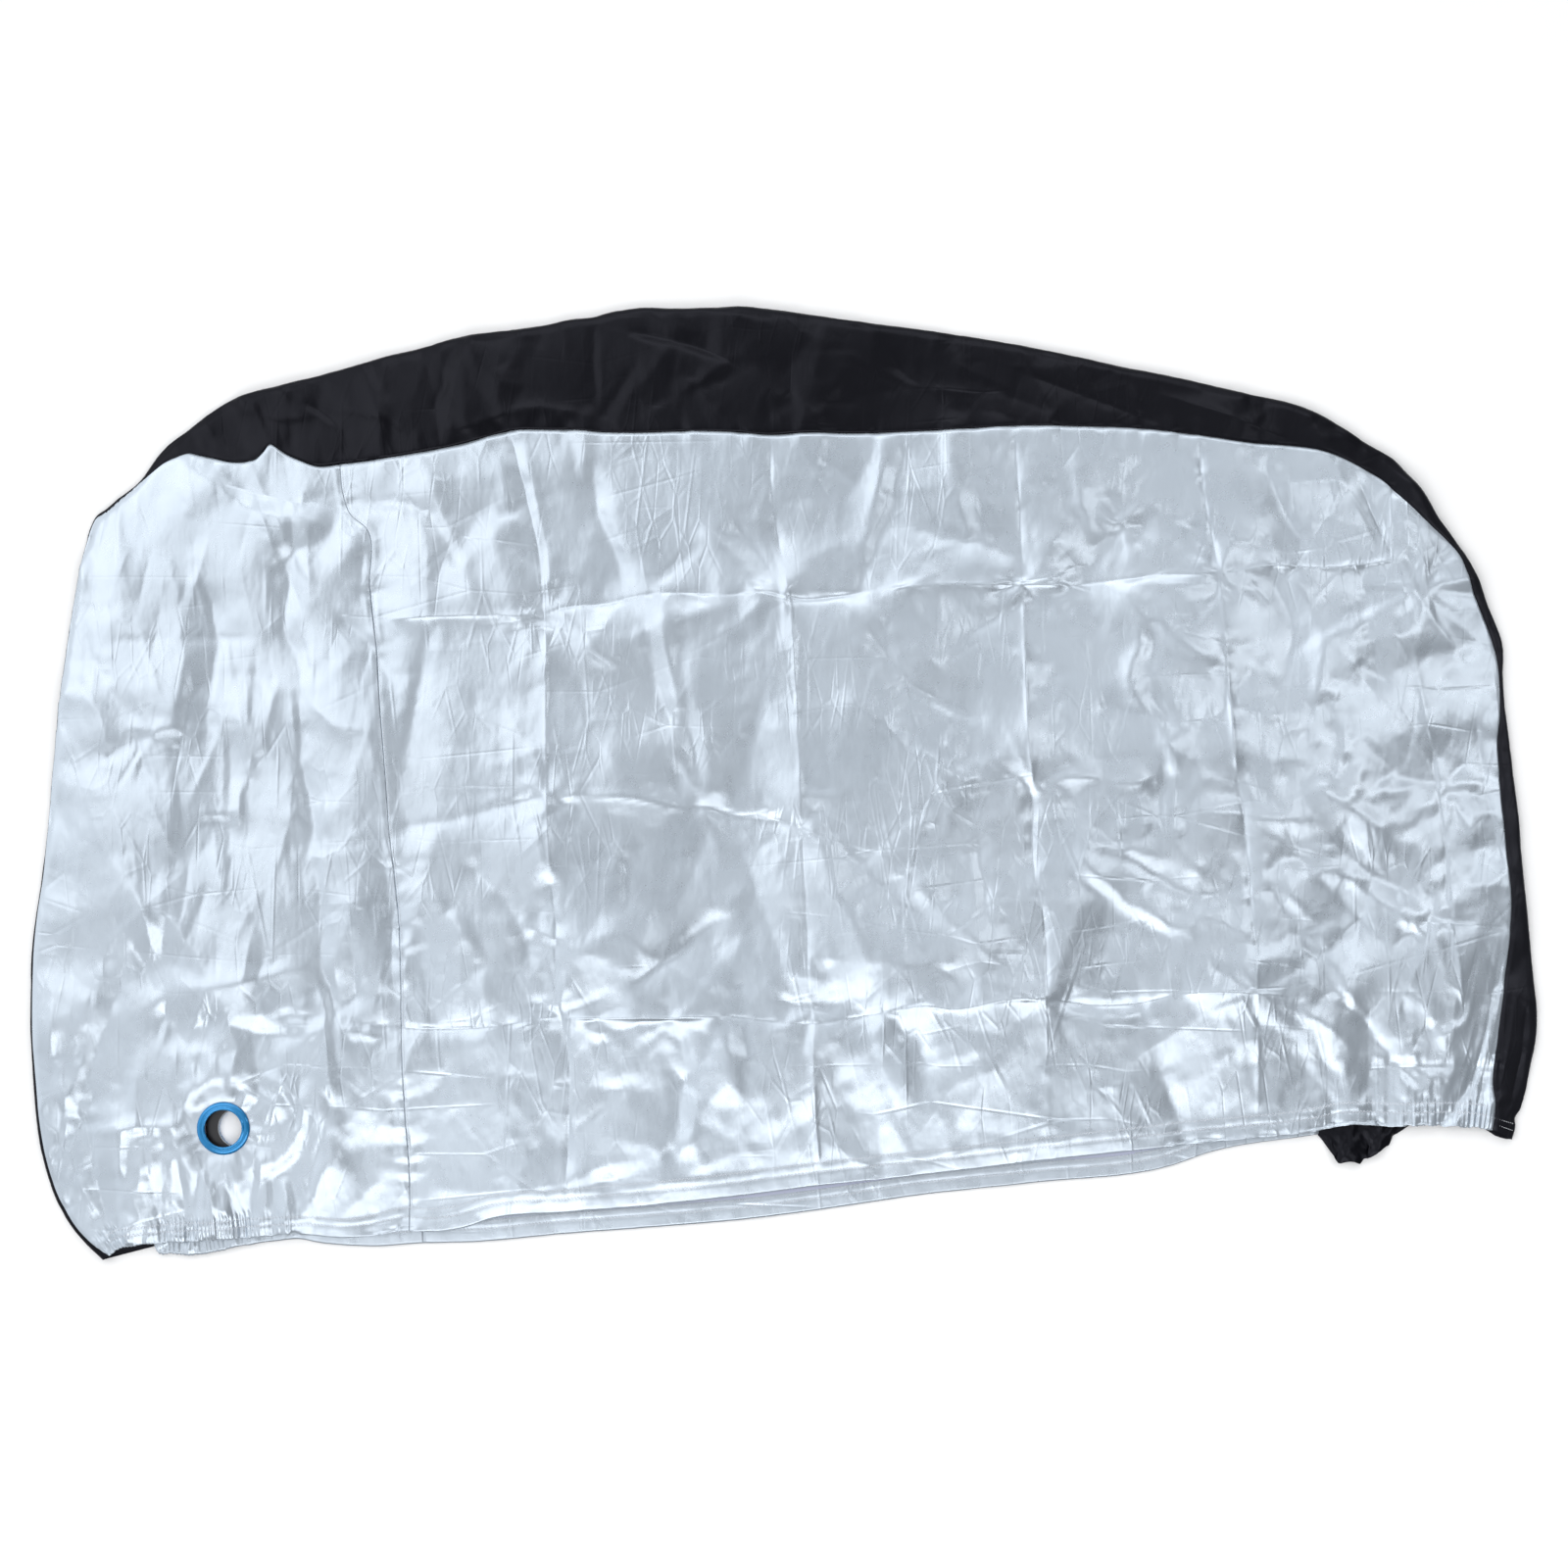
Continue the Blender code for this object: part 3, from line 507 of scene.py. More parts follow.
# ------------------------------------------------------------ upper cloth
def scatter(F, Z, count, long, slope, ratio, seed, soft=1.0, K=None):
    """Strew small folds over the cloth, most of them along or across it."""
    r = np.random.default_rng(seed)
    for _ in range(count):
        x, y = r.uniform(-1000, 1000), r.uniform(-640, 640)
        L = r.uniform(*long)
        a = r.normal(0, 0.45) + (math.pi / 2 if r.random() < 0.68 else 0)
        if r.random() < 0.30:
            a = r.uniform(0, math.pi)
        if x < -470 and r.random() < 0.85:      # the front part is drawn into long upright folds
            a = r.normal(math.pi / 2 + 0.0004*y, 0.24)
            L *= 1.25
        w = L * ratio * r.uniform(0.6, 1.3)
        tall = r.choice([-1, 1]) * slope * w * r.uniform(0.3, 1.2)
        stamp(F, Z, x - L/2*math.cos(a), y - L/2*math.sin(a), x + L/2*math.cos(a), y + L/2*math.sin(a),
              tall, w, soft=soft, taper=0.4, lean=r.uniform(-0.6, 0.6), K=K)


def upper_cloth():
    """Height of the upper cloth on a 4 mm grid."""
    F = Field(4.0)
    M = inside(F.X, F.Y, outer)
    rim_c, hem_c, near_c = (curve(mm(t), spacing=16.0) for t in (RIM, HEM, NEAR))
    drim = dist_line(F.X, F.Y, rim_c)[0]
    dhem, shem, _ = dist_line(F.X, F.Y, hem_c)
    dnear = dist_line(F.X, F.Y, near_c)[0]
    total = along(hem_c)[-1]
    base = 13.0 + (13.6 + 5.9*ease(dhem/240) - 13.0)*(1 - np.exp(-drim/75))
    for a, u, t in [(2.0, 0.6, 1.2), (-1.1, 1.6, 1.0), (3.1, -1.3, 0.9)]:
        base = base + t*np.sin(2*math.pi*(a*F.X + u*F.Y)/1000)*(1 - np.exp(-drim/60))
    rng = np.random.default_rng(7)
    Zc = np.zeros_like(F.X)
    K = np.zeros_like(F.X)
    for k, (tall, wide, pts) in enumerate(FOLDS):
        if k < PACKED:
            # pressed folds: one flank steep, the other long
            bend(F, Zc, mm(pts), tall*1.3, wide*3.2, rng, soft=0.4, wander=0.0, K=K, steer=-0.62 if k < 22 else 0.62)
        else:
            bend(F, Zc, mm(pts), tall*1.9, wide*1.3, rng, soft=0.6, wander=2.5, lean=0.5, K=K)
    for x, y, n, length, t in STARS:
        cx, cy = mm([(x, y)])[0]
        a0 = rng.uniform(0, 6.28)
        for k in range(n):
            a = a0 + 2*math.pi*k/n + rng.uniform(-.25, .25)
            reach = length*rng.uniform(.6, 1.5)
            s = (1 if k % 2 else -1)*t*1.15*rng.uniform(.6, 1.2)
            stamp(F, Zc, cx + 4*math.cos(a), cy + 4*math.sin(a), cx + reach*math.cos(a), cy + reach*math.sin(a), s, 7, soft=0.6, K=K)
    # folds that fan up from the elastic ends of the hem
    for lo, hi, count in ((0, ELASTIC_LEFT + 40, 40), (total - ELASTIC_RIGHT - 30, total, 36)):
        for k in range(count):
            s = lo + (hi - lo)*(k + rng.uniform(0.1, 0.9))/count
            x, y = (np.interp(s, along(hem_c), hem_c[:, i]) for i in (0, 1))
            a = math.pi/2 + rng.normal(0, 0.45)
            reach = rng.uniform(40, 130)
            stamp(F, Zc, x, y + 8, x + reach*math.cos(a), y + 8 + reach*math.sin(a),
                  (1.0 if lo == 0 else 0.62)*rng.choice([-1, 1])*rng.uniform(1.3, 3.6), rng.uniform(6, 12), soft=0.6, taper=0.6, lean=rng.uniform(-.5, .5), K=K)
    # folds round the near eyelet
    ex, ey, ez = EYELET_NEAR
    for k in range(15):
        a = 2*math.pi*(k + rng.uniform(-.3, .3))/15
        r0, r1 = 40, 40 + rng.uniform(35, 95)
        stamp(F, Zc, ex + r0*math.cos(a), ey + r0*math.sin(a), ex + r1*math.cos(a + .12), ey + r1*math.sin(a + .12),
              (1 if k % 2 else -1)*rng.uniform(1.2, 3.0), 9, soft=1.0, taper=0.5)
    Zr = np.zeros_like(F.X)
    scatter(F, Zr, 120, (150, 330), 0.11, 0.16, 1, K=K)
    scatter(F, Zr, 260, (60, 150), 0.09, 0.16, 2, K=K)
    scatter(F, Zr, 300, (25, 70), 0.07, 0.16, 3)
    # the black strip is limp and lies in longer folds of its own
    silver_side = inside(F.X, F.Y, np.concatenate([near_c, hem_c[::-1]]))
    Zb = np.zeros_like(F.X)
    scatter(F, Zb, 260, (60, 190), 0.20, 0.15, 51, K=K)
    scatter(F, Zb, 500, (30, 90), 0.16, 0.14, 52)
    Zr = Zr + np.where(silver_side, 0, Zb*ease(dnear/25))
    T = np.where(M, base + Zc + Zr, base)
    excess = np.full_like(F.X, 0.0075)
    ends = np.maximum(ease((ELASTIC_LEFT + 40 - shem)/80), ease((shem - total + ELASTIC_RIGHT + 40)/80))
    excess += np.where(F.X > 300, 0.013, 0.022)*ends*np.exp(-dhem/70)
    excess = np.where(silver_side, excess, 0.006)
    free = M & (drim > 5)
    low = np.full_like(F.X, 4.0)

    def half(A):
        return A[::2, ::2]
    F8, F16 = Field(8.0), Field(16.0)
    T8, M8, e8 = half(T), half(free), half(excess)
    T16, M16, e16 = half(T8), half(M8), half(e8)
    P = relax(F16, T16.copy(), T16, M16, e16, 300, 0.018, 0.004, floor=4.0)
    soft_fold = 1 - 0.88*np.clip(K, 0, 1)
    P = relax(F8, T8 + up2(P[..., 2] - T16), T8, M8, e8, 260, 0.019, 0.002, floor=4.0, creases=half(soft_fold))
    P = relax(F, T + up2(P[..., 2] - T8), T, free, excess, 130, 0.019, 0.002, floor=4.0, creases=soft_fold)
    Z = P[..., 2]
    for _ in range(2):                   # takes out what is finer than the grid can hold
        Z = Z - lap(lap(Z))/64*free
    high = 33.0
    Z = np.where(Z > high - 6, high - 6 + 6*np.tanh((Z - high + 6)/6), Z)
    return F, np.where(M, Z, base)


def ripple(rng, s, step, width=1.0):
    """Smooth random wave along s with about one crest each two steps."""
    n = int(s.max()/step) + 4
    v = rng.standard_normal(n)*width
    u = s/step
    i = np.clip(u.astype(int), 0, n-2)
    f = u - i
    f = f*f*(3-2*f)
    return v[i]*(1-f) + v[i+1]*f


def gathers(rng, s, v, grow=1.0):
    """Ruching of an elastic hem: fine at the edge, fewer and longer folds above."""
    out = 0
    for step, decay, tall, lean in ((5.5, 34, 0.55, 0.12), (10, 52, 1.1, 0.22), (19, 95, 1.7, 0.3)):
        r = ripple(rng, np.arange(0, 2200, 1.0), 60)*lean
        shift = np.interp(s, np.arange(0, 2200, 1.0), r)
        out = out + tall*ripple(rng, np.clip(s + shift*v + 40, 0, None), step)*np.exp(-v/decay)
    return out*grow


def fine_field():
    """The upper cloth on a 2 mm grid, with seams, hem and gathers."""
    F4, Z4 = upper_cloth()
    F = Field(2.0)
    Z = up2(Z4)
    rng = np.random.default_rng(21)
    coarse = [p[::7] if len(p) > 40 else p for p in (rim, near, hem, seam)]
    drim = dist_line(F.X, F.Y, np.concatenate([coarse[0], rim[-1:]]))[0]
    dnear, snear, _ = dist_line(F.X, F.Y, np.concatenate([coarse[1], near[-1:]]))
    dhem, shem, _ = dist_line(F.X, F.Y, np.concatenate([coarse[2], hem[-1:]]))
    dseam, sseam, side = dist_line(F.X, F.Y, np.concatenate([coarse[3], seam[-1:]]))
    total = along(hem)[-1]
    # puckered seams
    a = 0.55 + 0.45*ripple(rng, sseam, 60)
    Z += (1.15*ripple(rng, sseam + 0.25*dseam, 8.0) + 0.7*ripple(rng, sseam - 0.2*dseam, 14.0))*np.exp(-dseam/13)*a
    Z -= 0.15*np.exp(-(dseam/2.6)**2)
    Z += 0.35*np.exp(-((dseam - 6)/3.0)**2)
    on = (dnear < 60) & (drim > 6)
    Z += np.where(on, 0.8*ripple(rng, snear + 0.15*dnear, 13.0)*np.exp(-dnear/12)*np.clip((drim-6)/20, 0, 1), 0)
    Z -= 0.9*np.exp(-(dnear/2.4)**2)*np.clip((drim-4)/10, 0, 1)
    # hem: the turned-up band, its two stitch rows and the elastic ends
    ends = np.maximum(ease((ELASTIC_LEFT + 25 - shem)/55), ease((shem - total + ELASTIC_RIGHT + 25)/50))
    band = HEM_BAND - 6*ease((420 - shem)/100)
    Z += 0.55*(1 - ease((dhem - band)/3.0))
    for v in (band*0.6, band):
        Z -= 0.45*np.exp(-((dhem - v)/1.8)**2)
    Z += gathers(rng, shem, dhem)*(0.16 + 0.84*ends)*np.clip(0.55 + dhem/14, 0, 1)
    Z -= 0.6*np.exp(-dhem/6)
    scatter(F, Z, 1500, (22, 95), 0.135, 0.135, 11, soft=0.5)
    # the pressed folds themselves: a narrow ridge or groove on the wide change of slope
    for tall, wide, pts in FOLDS[:PACKED]:
        bend(F, Z, mm(pts), 1.0 if tall > 0 else -1.0, 2.4, rng, soft=0.4, wander=0.0, lean=0.2)
    # the joint of the two strip pieces and the creases of the strip
    for tall, wide, pts in BLACK_FOLDS:
        bend(F, Z, mm(pts), tall, wide, rng, soft=0.6, wander=0.0, lean=0.4)
    # crow's feet: fine creases that run out from the places where folds cross
    for x, y, n, length, tall in STARS:
        cx, cy = mm([(x, y)])[0]
        for k in range(n + 5):
            a = rng.uniform(0, 2*math.pi)
            r0, r1 = rng.uniform(4, 26), rng.uniform(30, 95)
            b = a + rng.uniform(-.12, .12)
            stamp(F, Z, cx + r0*math.cos(a), cy + r0*math.sin(a), cx + r1*math.cos(b), cy + r1*math.sin(b),
                  rng.choice([-1, 1])*rng.uniform(0.5, 1.1), rng.uniform(3.0, 5.0), soft=0.5, taper=0.5, lean=0.4)
    # level seat of the near eyelet
    ex, ey, ez = EYELET_NEAR
    r = np.hypot(F.X - ex, F.Y - ey)
    t = np.arctan2(F.Y - ey, F.X - ex)
    f = ease((r - 33)/38)
    Z = ez - 0.6 + (Z - ez + 0.6)*f
    pinch = ripple(rng, (t + math.pi)*48, 13.0)
    Z += 1.1*pinch*np.exp(-np.abs(r - 44)/14)*(r > 34)
    # rounded towards the outer fold
    Z -= 4.0*np.clip(1 - drim/13, 0, 1)**2
    return F, np.clip(Z, 5.0, 34.0)


FIELD, HEIGHT = fine_field()


def top(p):
    return sample(HEIGHT, FIELD.x0, FIELD.y0, FIELD.h, p[..., 0], p[..., 1])


def lower_field():
    """Slight folds of the cloth that lies on the ground."""
    F = Field(4.0)
    Z = np.zeros_like(F.X)
    scatter(F, Z, 240, (90, 300), 0.05, 0.10, 31)
    scatter(F, Z, 900, (30, 110), 0.05, 0.12, 32)
    scatter(F, Z, 1800, (14, 50), 0.04, 0.14, 33)
    return F, np.clip(1.0 + 0.75*Z, 0.0, 4.0)


LOW_FIELD, LOW = lower_field()


def ground(p):
    return sample(LOW, LOW_FIELD.x0, LOW_FIELD.y0, LOW_FIELD.h, p[..., 0], p[..., 1])


# ------------------------------------------------------------ grids
def part_of(line, start, end):
    """The stretch of a fine line between the places nearest two points."""
    i = int(np.argmin(np.hypot(*(line - np.asarray(start, float)).T)))
    j = int(np.argmin(np.hypot(*(line - np.asarray(end, float)).T)))
    return line[i:j+1]


def at_shares(line, shares):
    run = along(line)
    return np.stack([np.interp(np.asarray(shares)*run[-1], run, line[:, k]) for k in (0, 1)], 1)


def patch(bottom, top_line, left, right, s, t):
    """Fill four edges with a grid whose columns and rows are at shares s and t."""
    b, u, l, r = at_shares(bottom, s), at_shares(top_line, s), at_shares(left, t), at_shares(right, t)
    S, T = np.asarray(s)[None, :, None], np.asarray(t)[:, None, None]
    return ((1 - T)*b[None] + T*u[None] + (1 - S)*l[:, None] + S*r[:, None]
            - (1 - T)*(1 - S)*b[0] - (1 - T)*S*b[-1] - T*(1 - S)*u[0] - T*S*u[-1])


def shares(total, spans):
    """Shares of a length cut in spans of (length, step); the last length may be None."""
    out, at = [0.0], 0.0
    for length, step in spans:
        length = total - at if length is None else length
        n = max(1, int(round(length/step)))
        out += list(at + length*np.arange(1, n + 1)/n)
        at += length
    return np.array(out)/out[-1]


def mesh_grid(name, grid, materials, up=True, index=None, loop=False):
    """A grid of places in mm as a smooth-shaded mesh object in metres."""
    rows, cols = grid.shape[:2]
    v = (grid.reshape(-1, 3)*0.001).astype(np.float32)
    r = np.arange(rows - 1)[:, None]
    c = np.arange(cols - (0 if loop else 1))[None, :]
    n = (c + 1) % cols
    quads = np.stack([r*cols + c, r*cols + n, (r + 1)*cols + n, (r + 1)*cols + c], -1).reshape(-1, 4)
    if not up:
        quads = quads[:, ::-1]
    data = bpy.data.meshes.new(name)
    data.vertices.add(len(v))
    data.vertices.foreach_set("co", v.ravel())
    data.loops.add(quads.size)
    data.loops.foreach_set("vertex_index", quads.ravel().astype(np.int32))
    data.polygons.add(len(quads))
    data.polygons.foreach_set("loop_start", (np.arange(len(quads))*4).astype(np.int32))
    data.polygons.foreach_set("use_smooth", np.ones(len(quads), bool))
    for m in materials:
        data.materials.append(m)
    if index is not None:
        data.polygons.foreach_set("material_index", index.astype(np.int32).ravel())
    data.update(calc_edges=True)
    data.validate()
    piece = bpy.data.objects.new(name, data)
    bpy.context.scene.collection.objects.link(piece)
    return piece


def holed(piece, x, y, radius):
    """Open a round hole: the faces inside go, and the rim's vertices move onto the circle."""
    data = piece.data
    import bmesh
    b = bmesh.new()
    b.from_mesh(data)
    x, y, radius = x*0.001, y*0.001, radius*0.001
    gone = [f for f in b.faces if all(math.hypot(v.co.x - x, v.co.y - y) < radius*1.06 for v in f.verts)]
    bmesh.ops.delete(b, geom=gone, context="FACES")
    for v in b.verts:
        if any(e.is_boundary for e in v.link_edges):
            d = math.hypot(v.co.x - x, v.co.y - y)
            if d < radius*1.35:
                v.co.x = x + (v.co.x - x)*radius/d
                v.co.y = y + (v.co.y - y)*radius/d
    b.to_mesh(data)
    b.free()


# ------------------------------------------------------------ materials
def shader(name, colour, rough, metal, slot_name=None):
    m = bpy.data.materials.new(name)
    m.use_nodes = True
    p = m.node_tree.nodes["Principled BSDF"]
    p.inputs["Base Color"].default_value = (*colour, 1)
    p.inputs["Roughness"].default_value = rough
    p.inputs["Metallic"].default_value = metal
    return m, m.node_tree, p


def place(tree, scale, turn=(0, 0, 0)):
    c = tree.nodes.new("ShaderNodeTexCoord")
    k = tree.nodes.new("ShaderNodeMapping")
    k.inputs["Scale"].default_value = scale
    k.inputs["Rotation"].default_value = turn
    tree.links.new(c.outputs["Object"], k.inputs["Vector"])
    return k.outputs["Vector"]


def noise(tree, where, scale, detail=3, rough=0.55, twist=0.0):
    n = tree.nodes.new("ShaderNodeTexNoise")
    n.inputs["Scale"].default_value = scale
    n.inputs["Detail"].default_value = detail
    n.inputs["Roughness"].default_value = rough
    n.inputs["Distortion"].default_value = twist
    tree.links.new(where, n.inputs["Vector"])
    return n.outputs["Fac"]


def maths(tree, op, a, b=None, clamp=False):
    n = tree.nodes.new("ShaderNodeMath")
    n.operation = op
    n.use_clamp = clamp
    for k, v in enumerate((a, b)):
        if v is None:
            continue
        if isinstance(v, (int, float)):
            n.inputs[k].default_value = v
        else:
            tree.links.new(v, n.inputs[k])
    return n.outputs[0]


def span(tree, value, low, high, to_low, to_high):
    n = tree.nodes.new("ShaderNodeMapRange")
    for name, v in (("From Min", low), ("From Max", high), ("To Min", to_low), ("To Max", to_high)):
        n.inputs[name].default_value = v
    tree.links.new(value, n.inputs["Value"])
    return n.outputs[0]


def blend_colour(tree, fac, a, b):
    n = tree.nodes.new("ShaderNodeMix")
    n.data_type = "RGBA"
    n.inputs[6].default_value = (*a, 1)
    n.inputs[7].default_value = (*b, 1)
    tree.links.new(fac, n.inputs[0])
    return n.outputs[2]


def crease_bump(tree, p, strength):
    """Fine wrinkles the mesh is too coarse for."""
    def creases(where, wide, masked):
        v = tree.nodes.new("ShaderNodeTexVoronoi")
        v.voronoi_dimensions = "2D"
        v.feature = "DISTANCE_TO_EDGE"
        v.inputs["Scale"].default_value = 1.0
        tree.links.new(where, v.inputs["Vector"])
        line = span(tree, v.outputs["Distance"], 0.0, wide, 1.0, 0.0)
        here = span(tree, noise(tree, place(tree, (1, 1, 1)), masked, 1.0, 0.5), 0.50, 0.66, 0.0, 1.0)
        return maths(tree, "MULTIPLY", line, here)
    layers = [  # scale in cells per metre, turn, half width, where noise, height
        ((15, 4.0, 0), 0.12, 0.040, 7.0, 0.34), ((4.5, 17, 0), 0.20, 0.040, 6.0, -0.24),
        ((22, 7, 0), -0.70, 0.050, 8.0, 0.27), ((30, 9, 0), 0.50, 0.055, 9.0, -0.24),
        ((36, 14, 0), -1.15, 0.065, 8.0, 0.20)]
    soft = noise(tree, place(tree, (1.6, 0.8, 1)), 30.0, 2, 0.5)
    h = maths(tree, "MULTIPLY", soft, 1.0)
    for scale, turn, wide, masked, tall in layers:
        line = creases(place(tree, scale, (0, 0, turn)), wide, masked)
        h = maths(tree, "ADD", h, maths(tree, "MULTIPLY", line, tall))
    b = tree.nodes.new("ShaderNodeBump")
    b.inputs["Strength"].default_value = 1.0
    b.inputs["Distance"].default_value = 0.001*strength
    tree.links.new(h, b.inputs["Height"])
    tree.links.new(b.outputs["Normal"], p.inputs["Normal"])


def silver_cloth():
    m, t, p = shader("silver_coated_cloth", (0.6, 0.64, 0.7), 0.34, 0.66)
    big = noise(t, place(t, (1, 1, 1)), 5.0, 3, 0.6)
    t.links.new(blend_colour(t, big, (0.475, 0.54, 0.61), (0.565, 0.63, 0.70)), p.inputs["Base Color"])
    worn = noise(t, place(t, (1, 1, 1)), 22.0, 4, 0.6)
    t.links.new(span(t, worn, 0.3, 0.7, 0.24, 0.34), p.inputs["Roughness"])
    crease_bump(t, p, 1.0)
    return m


def black_cloth():
    m, t, p = shader("black_taffeta", (0.003, 0.003, 0.004), 0.28, 0.0)
    p.inputs["Specular IOR Level"].default_value = 0.20
    p.inputs["Specular Tint"].default_value = (0.82, 0.84, 1.0, 1)
    p.inputs["Sheen Weight"].default_value = 0.0
    p.inputs["Sheen Roughness"].default_value = 0.4
    p.inputs["Sheen Tint"].default_value = (0.6, 0.62, 0.8, 1)
    big = noise(t, place(t, (1, 1, 1)), 7.0, 3, 0.6)
    # the rear end of the strip is painted a little lighter than the top: a painted sheen standing in for the
    # reflections it shows there
    axes = t.nodes.new("ShaderNodeSeparateXYZ")
    t.links.new(place(t, (1, 1, 1)), axes.inputs[0])
    painted_sheen = span(t, axes.outputs[0], 0.78, 0.90, 0.0, 1.0)
    painted_sheen = maths(t, "MULTIPLY", painted_sheen, span(t, big, 0.3, 0.7, 0.55, 1.0))
    t.links.new(blend_colour(t, painted_sheen, (0.0011, 0.0011, 0.0022), (0.0095, 0.0098, 0.0125)), p.inputs["Base Color"])
    crease_bump(t, p, 0.7)
    return m


def inside_cloth():
    m, t, p = shader("inside_of_the_cloth", (0.55, 0.58, 0.74), 0.6, 0.0)
    big = noise(t, place(t, (1, 1, 1)), 12.0, 3, 0.6)
    t.links.new(blend_colour(t, big, (0.50, 0.53, 0.70), (0.60, 0.63, 0.78)), p.inputs["Base Color"])
    crease_bump(t, p, 0.5)
    return m


def thread():
    m, t, p = shader("stitching_thread", (0.78, 0.81, 0.86), 0.45, 0.0)
    fine = noise(t, place(t, (1, 1, 1)), 1500.0, 2, 0.6)
    t.links.new(blend_colour(t, fine, (0.70, 0.73, 0.78), (0.84, 0.87, 0.92)), p.inputs["Base Color"])
    return m


def blue_plastic():
    m, t, p = shader("blue_moulded_plastic", (0.006, 0.19, 0.46), 0.13, 0.55)
    p.inputs["Coat Weight"].default_value = 0.6
    p.inputs["Coat Roughness"].default_value = 0.06
    fine = noise(t, place(t, (1, 1, 1)), 160.0, 2, 0.5)
    t.links.new(blend_colour(t, fine, (0.005, 0.19, 0.46), (0.008, 0.23, 0.53)), p.inputs["Base Color"])
    t.links.new(span(t, fine, 0.3, 0.7, 0.13, 0.2), p.inputs["Roughness"])
    return m


def dark_plastic(name, colour):
    m, t, p = shader(name, colour, 0.35, 0.0)
    fine = noise(t, place(t, (1, 1, 1)), 300.0, 2, 0.5)
    t.links.new(span(t, fine, 0.3, 0.7, 0.28, 0.42), p.inputs["Roughness"])
    return m


SILVER, BLACK, INSIDE, THREAD, BLUE = silver_cloth(), black_cloth(), inside_cloth(), thread(), blue_plastic()
# the black washer and the grey lip are partly painted shade: besides the rings' own plastic, they stand for the dark
# gap and the shaded flange seen through the eyelet holes
WASHER_AND_SHADE, LIP_AND_SHADE = dark_plastic("black_washer_and_painted_shade", (0.012, 0.012, 0.014)), dark_plastic("grey_washer_and_painted_shade", (0.30, 0.32, 0.34))


# ------------------------------------------------------------ near side
def turned_edge(grid, way=(0.0, 1.0)):
    """Rows added below the first row: the hem edge turned under."""
    first = grid[0]
    rows = []
    for back, down in ((6.0, 2.4), (2.0, 2.3), (0.2, 1.7), (-0.5, 0.8)):
        row = first.copy()
        row[:, 0] += way[0]*back
        row[:, 1] += way[1]*back
        row[:, 2] -= down
        rows.append(row)
    return np.concatenate([np.array(rows), grid])


def allowance(grid, edges):
    """Columns or rows turned down along sewn edges."""
    for edge in edges:
        if edge == "left":
            a, b = grid[:, 0], grid[:, 1]
            w = (b - a)/np.maximum(np.linalg.norm((b - a)[:, :2], axis=1)[:, None], 1e-6)
            add = a + w*0.1
            add[:, 2] = a[:, 2] - 0.5
            grid = np.concatenate([add[:, None], grid], 1)
        elif edge == "right":
            a, b = grid[:, -1], grid[:, -2]
            w = (b - a)/np.maximum(np.linalg.norm((b - a)[:, :2], axis=1)[:, None], 1e-6)
            add = a + w*0.1
            add[:, 2] = a[:, 2] - 0.5
            grid = np.concatenate([grid, add[:, None]], 1)
        elif edge == "top":
            a, b = grid[-1], grid[-2]
            w = (b - a)/np.maximum(np.linalg.norm((b - a)[:, :2], axis=1)[:, None], 1e-6)
            add = a + w*0.4
            add[:, 2] = a[:, 2] - 2.2
            grid = np.concatenate([grid, add[None]])
    return grid


PITCH = np.random.default_rng(63).normal(0, 0.22, 900).cumsum()


def pleats(s, d, ends, pitch=5.7, tall=1.1, deep=26.0):
    """The fine upright pleats that the elastic draws in its band of hem."""
    turn = s/pitch + np.interp(s/pitch, np.arange(900), PITCH - np.interp(np.arange(900), [0, 899], PITCH[[0, 899]]))
    high = 0.75 + 0.45*np.sin(s/17.0 + 2*np.sin(s/41.0))
    return tall*high*np.sin(2*math.pi*turn)*ends*(1 - ease((d - deep)/12))*(0.45 + 0.55*ease(d/5))


def near_pleats(p):
    d, s, _ = dist_line(p[..., 0], p[..., 1], hem[::6])
    total = along(hem)[-1]
    ends = np.maximum(ease((ELASTIC_LEFT + 10 - s)/60), ease((s - total + ELASTIC_RIGHT + 10)/50))
    return pleats(s, d, ends)


def near_height(p):
    return top(p) + near_pleats(p)


def quilt(across, up, s_steps, t_steps):
    """Patches between crossing lines, joined in one grid, so that the pressed folds run along its edges.

    across: lines from left to right, lowest first; up: lines from the hem to the top, left first.
    """
    def cross(line, other):
        d = ((line[:, None] - other[None])**2).sum(-1)
        i, j = np.unravel_index(int(np.argmin(d)), d.shape)
        return i, j
    cut_a = [[cross(a, u)[0] for u in up] for a in across]
    cut_u = [[cross(a, u)[1] for a in across] for u in up]
    nodes = [[(across[i][cut_a[i][k]] + up[k][cut_u[k][i]])/2 for k in range(len(up))] for i in range(len(across))]

    def stretch(line, i, j, start, end):
        p = line[i:j+1].copy()
        f = np.linspace(0, 1, len(p))[:, None]
        return p + (1 - f)*(start - p[0]) + f*(end - p[-1])
    bands = []
    for i in range(len(across) - 1):
        row = []
        for k in range(len(up) - 1):
            low = stretch(across[i], cut_a[i][k], cut_a[i][k+1], nodes[i][k], nodes[i][k+1])
            high = stretch(across[i+1], cut_a[i+1][k], cut_a[i+1][k+1], nodes[i+1][k], nodes[i+1][k+1])
            left = stretch(up[k], cut_u[k][i], cut_u[k][i+1], nodes[i][k], nodes[i+1][k])
            right = stretch(up[k+1], cut_u[k+1][i], cut_u[k+1][i+1], nodes[i][k+1], nodes[i+1][k+1])
            g = patch(low, high, left, right, s_steps[k], t_steps[i])
            row.append(g if k == 0 else g[:, 1:])
        row = np.concatenate(row, 1)
        bands.append(row if i == 0 else row[1:])
    return np.concatenate(bands, 0)


